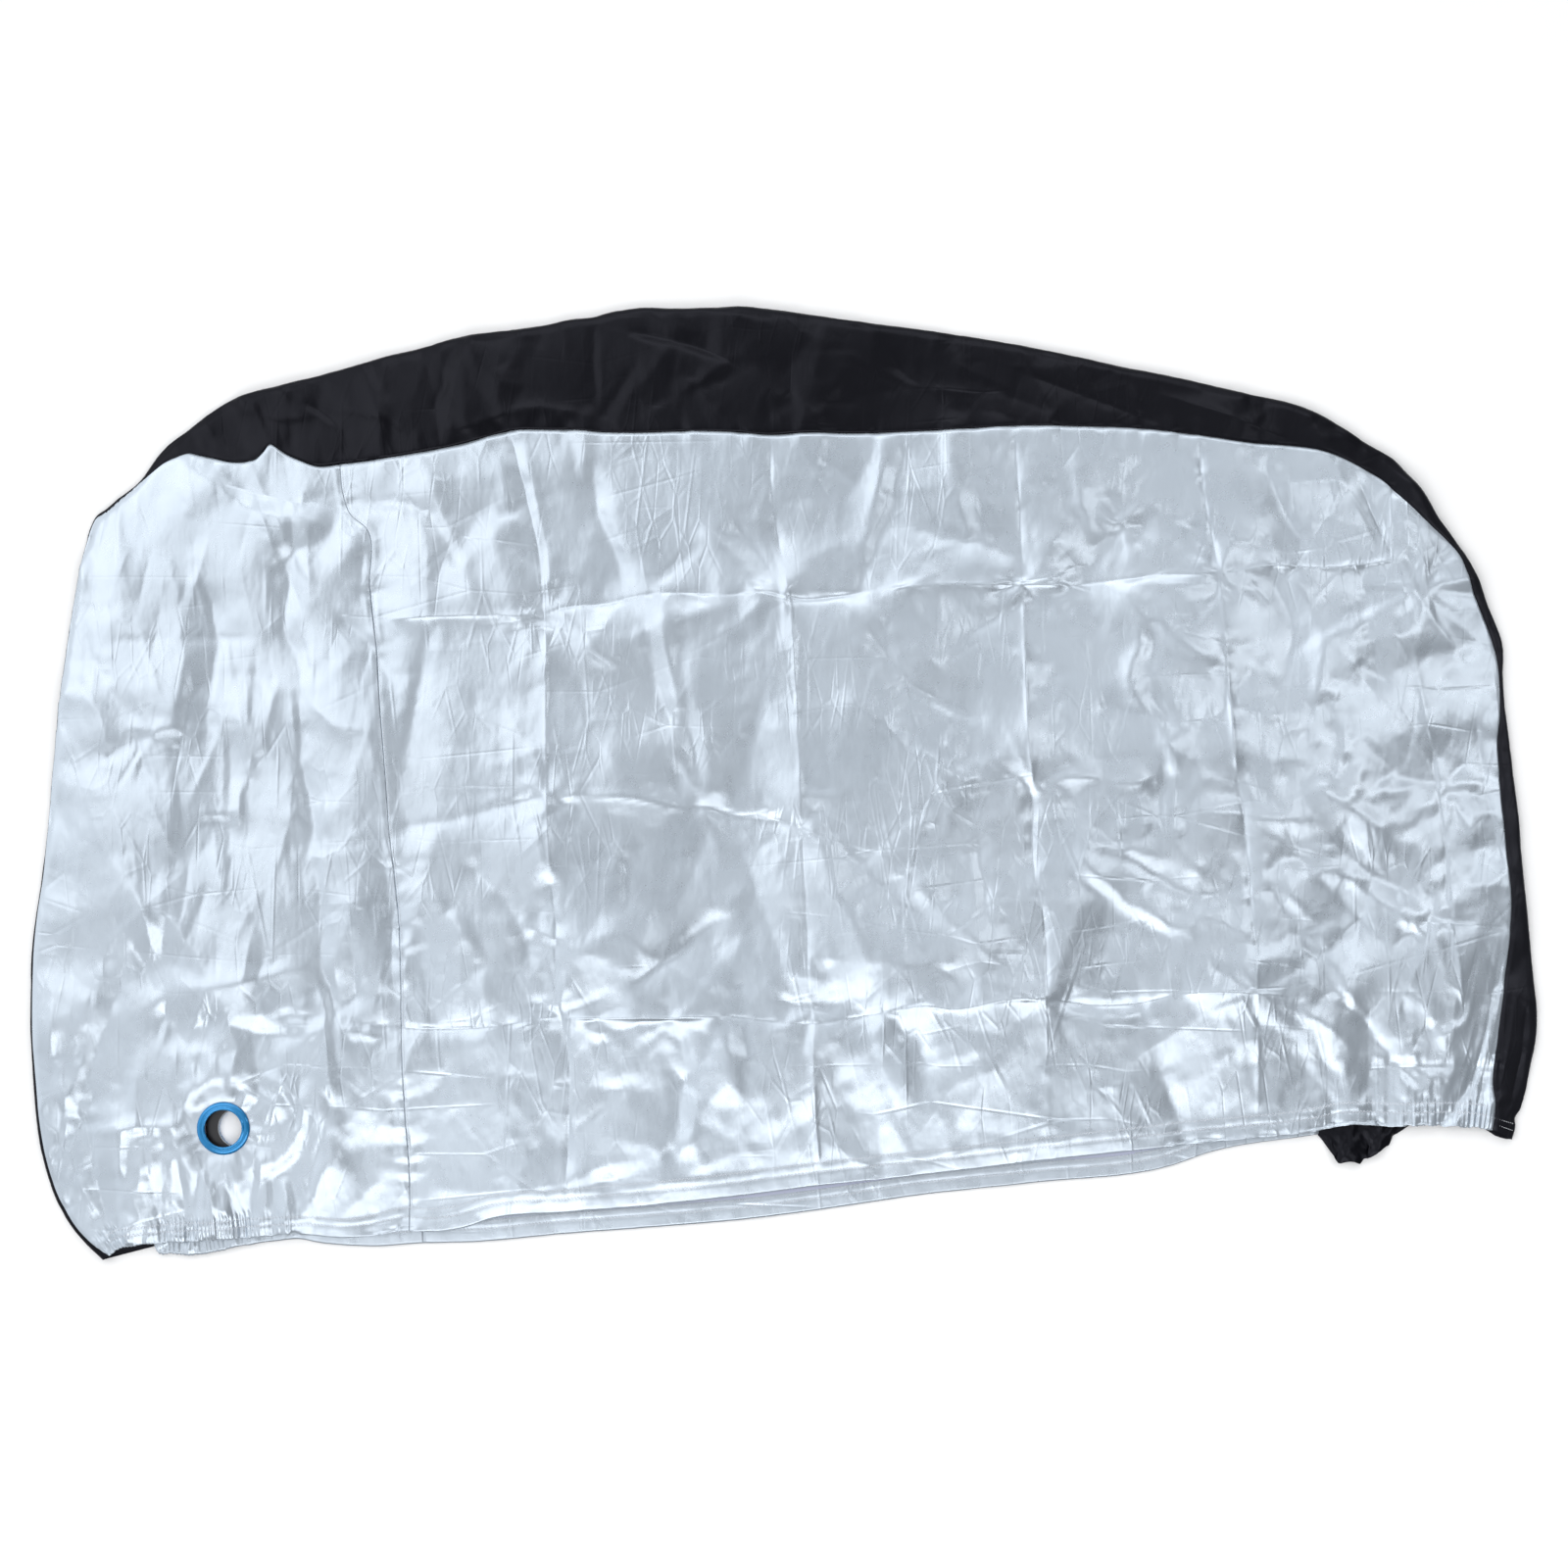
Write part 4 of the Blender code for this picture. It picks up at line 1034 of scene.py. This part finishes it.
def near_panel(name, g, edges, seed):
    z = top(g)
    z[:30] += near_pleats(g[:30])
    # the elastic's scallops in the hem's outline
    d, sh, _ = dist_line(g[:24, :, 0], g[:24, :, 1], hem[::6])
    total = along(hem)[-1]
    ends = np.maximum(ease((ELASTIC_LEFT + 15 - sh)/45), ease((sh - total + ELASTIC_RIGHT + 15)/45))
    rng = np.random.default_rng(5)
    wave = pleats(sh, d*0 + 12, ends, tall=0.7) + ripple(rng, sh + 20, 8.0)*0.7*(0.12 + 0.88*ends)
    g[:24, :, 1] += wave*np.exp(-d/7)
    g = np.concatenate([g, z[..., None]], 2)
    g = turned_edge(g)
    g = allowance(g, edges)
    return mesh_grid(name, g, [SILVER])


corner_at = mm([(108, 524)])[0]
split_at = mm([(348, 475)])[0]
rear_at = mm([(1440, 520)])[0]
foot_at = mm([(418, 1255)])[0]
near_left = part_of(near, near[0], corner_at)
near_top_front = part_of(near, corner_at, split_at)
near_top_main = part_of(near, split_at, rear_at)
near_right = part_of(near, rear_at, near[-1])[::-1]
hem_front, hem_main = part_of(hem, hem[0], foot_at), part_of(hem, foot_at, hem[-1])
seam_up = seam[::-1]

rows_front = shares(1000, [(36, 2.2), (None, 5.0)])
cols_front = shares(400, [(None, 1.45)])
near_front = near_panel("near_front_cloth", patch(hem_front, near_top_front, near_left, seam_up, cols_front, rows_front),
                        ("right", "top"), 1)


def to_up(points):
    return curve(mm(points)[::-1], spacing=2.0)


creases_up = [seam_up] + [to_up(p) for p in (
    [(523, 441), (531, 481), (544, 532), (552, 580), (555, 627), (559, 643), (558, 732), (559, 812), (563, 898),
     (567, 930), (572, 1035), (578, 1057), (581, 1137), (577, 1220), (577, 1237)],
    [(786, 445), (787, 500), (792, 541), (799, 573), (808, 630), (811, 691), (815, 771), (816, 844), (823, 930),
     (826, 1013), (829, 1045), (831, 1121), (836, 1194), (837, 1209)],
    [(1034, 436), (1039, 512), (1044, 600), (1046, 707), (1053, 803), (1056, 898), (1063, 930), (1068, 1016),
     (1073, 1100), (1077, 1182)],
    [(1222, 445), (1228, 516), (1242, 578), (1249, 650), (1254, 726), (1260, 790), (1269, 850), (1274, 912),
     (1280, 975), (1282, 1039), (1282, 1144), (1282, 1160)],
    [(1381, 475), (1395, 516), (1424, 578), (1438, 650), (1448, 707), (1460, 764), (1467, 822), (1473, 864),
     (1474, 928), (1486, 979), (1491, 1030), (1494, 1090), (1496, 1149)])] + [near_right]
creases_across = [hem_main] + [curve(mm(p), spacing=2.0) for p in (
    [(410, 1049), (484, 1049), (573, 1038), (621, 1038), (682, 1038), (735, 1036), (828, 1044), (904, 1032), (942, 1025),
     (971, 1029), (1028, 1019), (1070, 1019), (1111, 1025), (1159, 1024), (1200, 1014), (1228, 1012), (1280, 1013),
     (1310, 1017), (1400, 1012), (1491, 1008), (1534, 1005)],
    [(382, 632), (400, 632), (464, 629), (553, 629), (575, 621), (620, 616), (655, 608), (687, 605), (735, 608),
     (783, 605), (814, 611), (900, 602), (965, 597), (1041, 597), (1089, 597), (1142, 592), (1185, 587), (1242, 587),
     (1295, 578), (1352, 580), (1424, 577), (1460, 580), (1493, 582)])] + [near_top_main]


def beside_folds(width, coarse, fine, left=14.0, right=14.0):
    return shares(width, [(5, 1.25), (left - 5, fine), (width - left - right, coarse), (right - 5, fine), (5, 1.25)])


s_steps = [beside_folds(200, 5.0, 3.0), beside_folds(330, 5.0, 3.0), beside_folds(315, 5.0, 3.0), beside_folds(260, 5.0, 3.0),
           shares(240, [(5, 1.25), (9, 2.8), (111, 4.6), (115, 1.8)]), shares(70, [(None, 1.8)])]
t_steps = [shares(215, [(34, 2.2), (167, 5.0), (9, 3.0), (5, 1.25)]), beside_folds(560, 5.0, 3.0), shares(200, [(5, 1.25), (9, 3.0), (186, 4.8)])]
near_main = near_panel("near_main_cloth", quilt(creases_across, creases_up, s_steps, t_steps),
                       ("left", "right", "top"), 2)
print("near main", len(near_main.data.polygons)*2, "triangles; near front", len(near_front.data.polygons)*2)
holed(near_front, EYELET_NEAR[0], EYELET_NEAR[1], 27.0)


# ------------------------------------------------------------ far side
far_table = np.array([row[4:6] for row in SECTIONS], float)
far_hem = curve(mm(FAR_HEM), spacing=2.0)
far_foot = np.array([-480.0, -611.0])
far_seam = curve(FAR_SEAM, spacing=4.0)
far_seam[0] = far_hem[int(np.argmin(np.hypot(*(far_hem - far_foot).T)))]


def far_line(a, b):
    return curve(far_table[a:b + 1], spacing=4.0)


def far_panel(name, bottom, top_line, left, right, s, t, seed):
    g = patch(bottom, top_line, left, right, s, t)
    z = ground(g)
    d, sh, _ = dist_line(g[..., 0], g[..., 1], far_hem[::6])
    near_d = dist_line(g[..., 0], g[..., 1], hem[::8])[0]
    rng = np.random.default_rng(seed)
    left_end = ease((165 - sh)/50)
    z += 0.6*(1 - ease((d - 27)/3))
    for v in (17.0, 27.0):
        z -= 0.35*np.exp(-((d - v)/1.8)**2)
    z += np.abs(gathers(rng, sh, d, 0.9))*(0.14 + 0.86*left_end)*np.clip(0.5 + d/12, 0, 1)
    z += 2.2*np.exp(-d/30)*(0.4 + 0.6*left_end)
    z += pleats(sh + 300, d, left_end, pitch=6.6, tall=1.1, deep=24.0) + 1.0*left_end*np.exp(-d/30)
    wave = pleats(sh + 300, d*0 + 12, left_end, tall=0.7) + ripple(rng, sh + 20, 9.0)*0.7*(0.15 + 0.85*left_end)
    g[..., 1] += wave*np.exp(-d/7)
    # level seat of the far eyelet
    ex, ey, ez = EYELET_FAR
    r = np.hypot(g[..., 0] - ex, g[..., 1] - ey)
    z = ez + (z - ez)*ease((r - 36)/45)
    g = np.concatenate([g, np.clip(z, 0.15, 9.0)[..., None]], 2)
    # the band of turned-up hem shows the silver side
    rows, cols = g.shape[:2]
    band = (d[:-1, :-1] < 27.5)
    index = np.where(band, 2, 0)
    piece = mesh_grid(name, g, [SILVER, INSIDE, SILVER, SILVER], up=False, index=index)
    thick = piece.modifiers.new("cloth", "SOLIDIFY")
    thick.thickness = 0.0007
    thick.offset = -1
    thick.material_offset = 1
    thick.material_offset_rim = 0
    return piece


far_hem_front = part_of(far_hem, far_hem[0], far_foot)
far_hem_main = part_of(far_hem, far_foot, far_hem[-1])
rows_far = shares(900, [(36, 2.6), (None, 12.0)])
far_front = far_panel("far_front_cloth", far_hem_front, far_line(CORNER, FAR_SPLIT), far_line(0, CORNER), far_seam,
                      shares(360, [(None, 1.6)]), rows_far, 41)
far_main = far_panel("far_main_cloth", far_hem_main, far_line(FAR_SPLIT, REAR), far_seam, far_line(REAR, LAST)[::-1],
                     shares(1200, [(None, 5.4)]), rows_far, 42)
holed(far_front, EYELET_FAR[0], EYELET_FAR[1], 27.0)


# ------------------------------------------------------------ black strip
def marks(line, table):
    """Where each section meets a fine line."""
    run = along(line)
    at = [run[int(np.argmin(np.hypot(*(line - p).T)))] for p in table]
    at[0], at[-1] = 0.0, run[-1]
    return np.maximum.accumulate(np.array(at))


rim_marks = marks(rim, np.array([row[0:2] for row in SECTIONS], float))
near_marks = marks(near, np.array([row[2:4] for row in SECTIONS], float))


def on_line(line, s):
    run = along(line)
    return np.stack([np.interp(s, run, line[:, k]) for k in (0, 1)], 1)


def tent(p, turn, step, phase):
    """Flat slopes up and down, with sharp creases between."""
    v = (p[:, 0]*math.cos(turn) + p[:, 1]*math.sin(turn))/step + phase
    return 2*np.abs(v - np.floor(v + 0.5))


def strip(name, start, end, step, flap_cols, low_cols, seed, split_left, split_right):
    knots = np.arange(len(SECTIONS))
    count = int(round((rim_marks[end] - rim_marks[start])/step))
    want = np.linspace(rim_marks[start], rim_marks[end], count + 1)
    u = np.interp(want, rim_marks, knots + 1e-9*knots)
    r = on_line(rim, want)
    n = on_line(near, np.interp(u, knots, near_marks))
    f = np.stack([smooth(u, knots, far_table[:, k]) for k in (0, 1)], 1)
    rng = np.random.default_rng(seed)
    # a little unevenness of the outer fold, in towards the cover only
    way_in = (n - r)/np.maximum(np.hypot(*(n - r).T)[:, None], 1e-6)
    deep = (f - r)/np.hypot(*(f - r).T)[:, None]
    width = np.hypot(*(n - r).T)
    reach = np.minimum(7.0, 0.8*width)
    mid = r + way_in*0.2
    first = mid + way_in*reach[:, None]
    rows = []
    # seam allowance under the silver edge
    for back, down in ((7.0, 2.6), (0.6, 2.0)):
        p = n + way_in*back
        rows.append(np.column_stack([p, top(n) - down]))
    for k in np.linspace(0, 1, flap_cols) ** 1.0:
        p = n + (first - n)*k
        rows.append(np.column_stack([p, top(p)]))
    z_top = rows[-1][:, 2]
    low_first = mid + deep*reach[:, None]
    z_low = np.maximum(ground(low_first), 0.3)
    middle, half = (z_top + z_low)/2, (z_top - z_low)/2
    sag = 0.10*ripple(rng, want - want[0], 26.0)
    for turn in np.radians(np.linspace(70, -90, 9)):
        way = way_in if turn > 0 else deep
        share = 1 - math.cos(turn)
        p = mid + way*(reach*share)[:, None]
        p = p + way_in*(0.25*np.abs(ripple(rng, want - want[0], 9.0)))[:, None]*math.cos(turn)
        rows.append(np.column_stack([p, middle + half*(math.sin(turn) + sag*math.cos(turn))]))
    rows[-1][:, 2] = z_low
    to_end = rim_marks[-1] - want
    rise_f = np.interp(to_end, [0, 50, 100], [1.0, 0.45, 0.0])
    drop_f = np.clip(1 - to_end/50, 0, 1)
    b = np.array(BUNCH)
    splits = np.concatenate([np.linspace(0, 0.58, low_cols)[1:], np.linspace(0.58, 1, 30)[1:]]) if end == LAST else np.linspace(0, 1, low_cols + 1)[1:]
    for share in splits:
        p = low_first + (f - low_first)*share
        rise = np.interp(share, b[:, 0], b[:, 2])
        drop = np.interp(share, b[:, 0], b[:, 1])
        z = np.clip(ground(p), 0.2, 9) + rise*rise_f
        p = p.copy()
        p[:, 1] -= drop*drop_f
        if end == LAST:
            p[:, 1] += np.interp(share, [0, 0.05, 0.14, 0.5, 0.6, 1], [0, 3, 17, 17, 0, 0])*drop_f
            crumple = drop_f*ease((share - 0.58)/0.06)
            z = z + crumple*(4.2*tent(p, 0.5, 19, 0.3) + 3.2*tent(p, -0.7, 13, 0.1) + 1.8*tent(p, 1.3, 7.5, 0.6) - 2.5)
            p[:, 0] += crumple*4*np.sin(share*41 + to_end*0.13)
            p[:, 1] += crumple*2.5*np.sin(share*77 + to_end*0.21)
        rows.append(np.column_stack([p, np.clip(z, 0.2, 13.0)]))
    g = np.array(rows)
    # gathers where the strip's own hem ends are drawn in
    for flag, dist in ((start == 0, want - want[0]), (end == LAST, to_end)):
        if flag:
            d = np.broadcast_to(dist[None], g.shape[:2])
            acr = np.concatenate([np.zeros((1, g.shape[1])), np.cumsum(np.hypot(*np.moveaxis(np.diff(g[..., :2], axis=0), 2, 0)), 0)])
            wave = gathers(rng, acr + 30, d, 0.55)
            g[..., 2] = np.clip(g[..., 2] + np.where(g[..., 2] > 3, wave, np.abs(wave)*0.8), 0.15, 30)
    return mesh_grid(name, g, [BLACK], up=False)


strip_front = strip("front_strip_cloth", 0, STRIP_SPLIT, 4.2, 26, 20, 51, False, True)
strip_main = strip("main_strip_cloth", STRIP_SPLIT, LAST, 4.2, 42, 22, 52, True, False)


# ------------------------------------------------------------ eyelets
def ring(name, x, y, level, face, materials, pick):
    """A turned ring: domed outer flange with a raised lip, neck, flat inner flange."""
    profile = [(24.5, 2.0), (24.7, 2.9), (25.3, 3.5), (26.2, 3.8), (27.0, 3.65), (27.6, 3.2), (28.2, 3.0), (29.2, 3.25),
               (30.6, 3.35), (32.2, 3.15), (33.6, 2.6), (34.6, 1.8), (35.0, 1.1), (34.9, 0.75), (33.8, 0.62), (27.2, 0.6),
               (27.0, 0.0), (27.0, -0.6), (33.9, -0.65), (34.8, -0.9), (34.9, -1.5), (34.2, -2.0), (32.0, -2.35),
               (28.0, -2.45), (26.0, -2.3), (24.9, -1.9), (24.5, -1.2)]
    if face < 0:      # the far ring's washer is the wider of the two
        profile = [(r + 7.5*ease((r - 28)/4), z) if z < -0.6 else (r, z) for r, z in profile]
    n = 112
    a = 2*math.pi*np.arange(n)/n
    rows = []
    for r, z in profile + profile[:1]:
        rows.append(np.stack([x + r*np.cos(a), y + face*r*np.sin(a), np.full(n, level + face*z)], 1))
    g = np.array(rows)
    index = np.array([[pick(r, z)]*n for r, z in profile])
    piece = mesh_grid(name, g[:-1], materials, up=True, loop=True, index=index[:-1])
    import bmesh
    b = bmesh.new()
    b.from_mesh(piece.data)
    b.verts.ensure_lookup_table()
    m = len(profile) - 1
    for k in range(n):
        j = (k + 1) % n
        face_new = b.faces.new([b.verts[m*n + k], b.verts[m*n + j], b.verts[j], b.verts[k]])
        face_new.smooth = True
    bmesh.ops.recalc_face_normals(b, faces=b.faces[:])
    b.to_mesh(piece.data)
    b.free()
    return piece


# the black and grey inner faces of the rings, with the far washer's wide black band, are partly painted shade for the
# dark gap seen through the holes
eyelet_near = ring("near_eyelet_ring", *EYELET_NEAR, 1, [BLUE, WASHER_AND_SHADE], lambda r, z: 1 if z < -0.9 and r < 34.5 else 0)
eyelet_far = ring("far_eyelet_ring", *EYELET_FAR, -1, [BLUE, WASHER_AND_SHADE, LIP_AND_SHADE],
                  lambda r, z: (2 if r < 27 else 1) if z < -0.5 else 0)


# ------------------------------------------------------------ stitches
def stitches(name, runs, thick, material):
    """Small rounded stitches, each from one place to the next: runs of (starts, ends)."""
    starts = np.concatenate([a for a, _ in runs])
    ends = np.concatenate([b for _, b in runs])
    way = ends - starts
    length = np.maximum(np.linalg.norm(way, axis=1, keepdims=True), 1e-6)
    way = way/length
    up = np.tile([0.0, 0.0, 1.0], (len(way), 1))
    side = np.cross(up, way)
    side /= np.maximum(np.linalg.norm(side, axis=1, keepdims=True), 1e-6)
    up = np.cross(way, side)
    verts = []
    for share, fat in ((0.0, 0.45), (0.5, 1.0), (1.0, 0.45)):
        c = starts + way*length*share + up*thick*0.35*(1 if share == 0.5 else -0.4)
        for k in range(4):
            a = math.pi/4 + k*math.pi/2
            verts.append(c + (side*math.cos(a) + up*math.sin(a))*thick*0.5*fat)
    V = np.stack(verts, 1).reshape(-1, 3)*0.001
    quads = []
    for ringi in (0, 4):
        for k in range(4):
            quads.append([ringi + k, ringi + (k+1) % 4, ringi + 4 + (k+1) % 4, ringi + 4 + k])
    quads.append([3, 2, 1, 0])
    quads.append([8, 9, 10, 11])
    Q = (np.array(quads)[None] + 12*np.arange(len(way))[:, None, None]).reshape(-1, 4)
    data = bpy.data.meshes.new(name)
    data.from_pydata(V.tolist(), [], Q.tolist())
    data.polygons.foreach_set("use_smooth", np.ones(len(Q), bool))
    data.materials.append(material)
    data.update()
    piece = bpy.data.objects.new(name, data)
    bpy.context.scene.collection.objects.link(piece)
    return piece


def offset_line(line, by):
    """The line moved to its left by a distance, which may vary along it."""
    d = np.gradient(line, axis=0)
    d /= np.maximum(np.hypot(*d.T)[:, None], 1e-6)
    return line + np.stack([-d[:, 1], d[:, 0]], 1)*np.asarray(by)[..., None]


def zigzag(line, height, pitch, sway, lift, rng):
    run = along(line)
    n = int(run[-1]/pitch)
    s = np.linspace(0, run[-1], n + 1) + np.concatenate([[0], rng.normal(0, pitch*0.06, n - 1), [0]])
    p = on_line(line, s)
    d = np.gradient(p, axis=0)
    d /= np.maximum(np.hypot(*d.T)[:, None], 1e-6)
    side = np.stack([-d[:, 1], d[:, 0]], 1)
    p = p + side*(sway*np.where(np.arange(n + 1) % 2, 1, -1))[:, None]
    q = np.column_stack([p, height(p) + lift])
    return q[:-1], q[1:]


def dashes(line, height, pitch, length, lift, rng):
    run = along(line)
    n = int(run[-1]/pitch)
    s = (np.arange(n) + 0.5)*pitch + rng.normal(0, 0.12, n)
    a, b = on_line(line, s - length/2), on_line(line, s + length/2)
    return np.column_stack([a, height(a) + lift]), np.column_stack([b, height(b) + lift])


def low_top(p):
    d, sh, _ = dist_line(p[..., 0], p[..., 1], far_hem[::6])
    return np.clip(ground(p) + 0.6 + 2.2*np.exp(-d/30)*0.4, 0.2, 9.0) + 0.75


srng = np.random.default_rng(77)
hem_run = along(hem)
band_at = HEM_BAND - 6*ease((420 - hem_run)/100)
runs = []
for share in (0.6, 1.0):
    line = offset_line(hem, band_at*share)[6:-6]
    runs.append(zigzag(line, near_height, 2.3, 1.8, 0.30, srng))
near_stitches = stitches("near_hem_stitches", runs, 0.75, THREAD)
seam_line = offset_line(seam, np.full(len(seam), 2.6))[4:-14]
seam_stitches = stitches("near_seam_stitches", [dashes(seam_line, top, 3.3, 2.4, 0.25, srng)], 0.8, THREAD)
sewn_end = [curve(mm(p), spacing=1.0) for p in ([(1523, 1140), (1546, 1147)], [(1523, 1146), (1545, 1154)])]
strip_stitches = stitches("strip_hem_stitches", [dashes(line, top, 3.2, 2.3, 0.55, srng) for line in sewn_end], 0.9, THREAD)
far_runs = []
for v in (17.0, 27.0):
    line = offset_line(far_hem, np.full(len(far_hem), v))[10:-6]
    far_runs.append(zigzag(line, low_top, 2.3, 1.8, 0.25, srng))
far_stitches = stitches("far_hem_stitches", far_runs, 0.75, THREAD)

# ------------------------------------------------------------ pieces under the root body, the CAD parts they stand for hidden
for piece, slot, node in ((near_front, "silver_cloth", "panel_near_front"), (near_main, "silver_cloth", "panel_near_main"),
                          (far_front, "silver_cloth", "panel_far_front"), (far_main, "silver_cloth", "panel_far_main"),
                          (strip_front, "black_cloth", "gusset_front"), (strip_main, "black_cloth", "gusset_main"),
                          (eyelet_near, "blue_plastic", "eyelet_near"), (eyelet_far, "blue_plastic", "eyelet_far")):
    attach(piece, "root")
    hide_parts(node)
for piece, slot in ((near_stitches, "silver_cloth"), (seam_stitches, "silver_cloth"), (far_stitches, "silver_cloth"),
                    (strip_stitches, "black_cloth")):
    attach(piece, "root")

# ------------------------------------------------------------ floor, light, camera
floor_data = bpy.data.meshes.new("floor")
floor_data.from_pydata([(-9, -9, 0), (9, -9, 0), (9, 9, 0), (-9, 9, 0)], [], [(0, 1, 2, 3)])
floor = bpy.data.objects.new("floor", floor_data)
bpy.context.scene.collection.objects.link(floor)
fm, ft, fp = shader("pale_floor", (0.97, 0.97, 0.97), 0.9, 0.0)
fp.inputs["Specular IOR Level"].default_value = 0.0
speck = noise(ft, place(ft, (1, 1, 1)), 3.0, 2, 0.5)
ft.links.new(blend_colour(ft, speck, (0.965, 0.965, 0.965), (0.985, 0.985, 0.985)), fp.inputs["Base Color"])
floor_data.materials.append(fm)

world = bpy.data.worlds.new("studio")
bpy.context.scene.world = world
world.use_nodes = True
sky = world.node_tree
# one side of the studio is brighter than the other, and the roof over the camera is dimmer than the walls
where = sky.nodes.new("ShaderNodeTexCoord").outputs["Generated"]
tilt = sky.nodes.new("ShaderNodeVectorMath")
tilt.operation = "DOT_PRODUCT"
tilt.inputs[1].default_value = (-0.72, 0.62, 0.0)
sky.links.new(where, tilt.inputs[0])
level = maths(sky, "ADD", maths(sky, "MULTIPLY", tilt.outputs["Value"], 1.10), 0.66)
level = maths(sky, "MINIMUM", maths(sky, "MAXIMUM", level, 0.22), 1.25)
back = sky.nodes["Background"]
back.inputs["Color"].default_value = (0.965, 0.98, 1.0, 1)
sky.links.new(level, back.inputs["Strength"])


def soft_box(name, at, size, power, aim=(0, 0, 0)):
    light = bpy.data.lights.new(name, "AREA")
    light.shape = "RECTANGLE"
    light.size, light.size_y = size
    light.energy = power
    lamp = bpy.data.objects.new(name, light)
    bpy.context.scene.collection.objects.link(lamp)
    lamp.location = at
    d = np.array(aim, float) - np.array(at, float)
    d /= np.linalg.norm(d)
    from mathutils import Vector
    lamp.rotation_euler = Vector(d).to_track_quat("-Z", "Y").to_euler()
    return lamp


soft_box("left box", (-1.9, 0.8, 2.6), (1.9, 2.8), 14)
soft_box("right box", (1.95, 0.3, 2.5), (0.55, 2.4), 8)
soft_box("front box", (0.0, -1.8, 2.5), (3.2, 1.4), 33)
soft_box("back box", (0.2, 2.1, 2.5), (3.0, 0.9), 12)

camera_data = bpy.data.cameras.new("camera")
camera = bpy.data.objects.new("camera", camera_data)
bpy.context.scene.collection.objects.link(camera)
camera.location = (0.0007, 0.0, 3.5)
camera_data.sensor_width = 36
camera_data.lens = 36*(3.5 - 0.007)/2.0846
camera_data.clip_end = 60
bpy.context.scene.camera = camera
bpy.context.scene.view_settings.view_transform = "Standard"
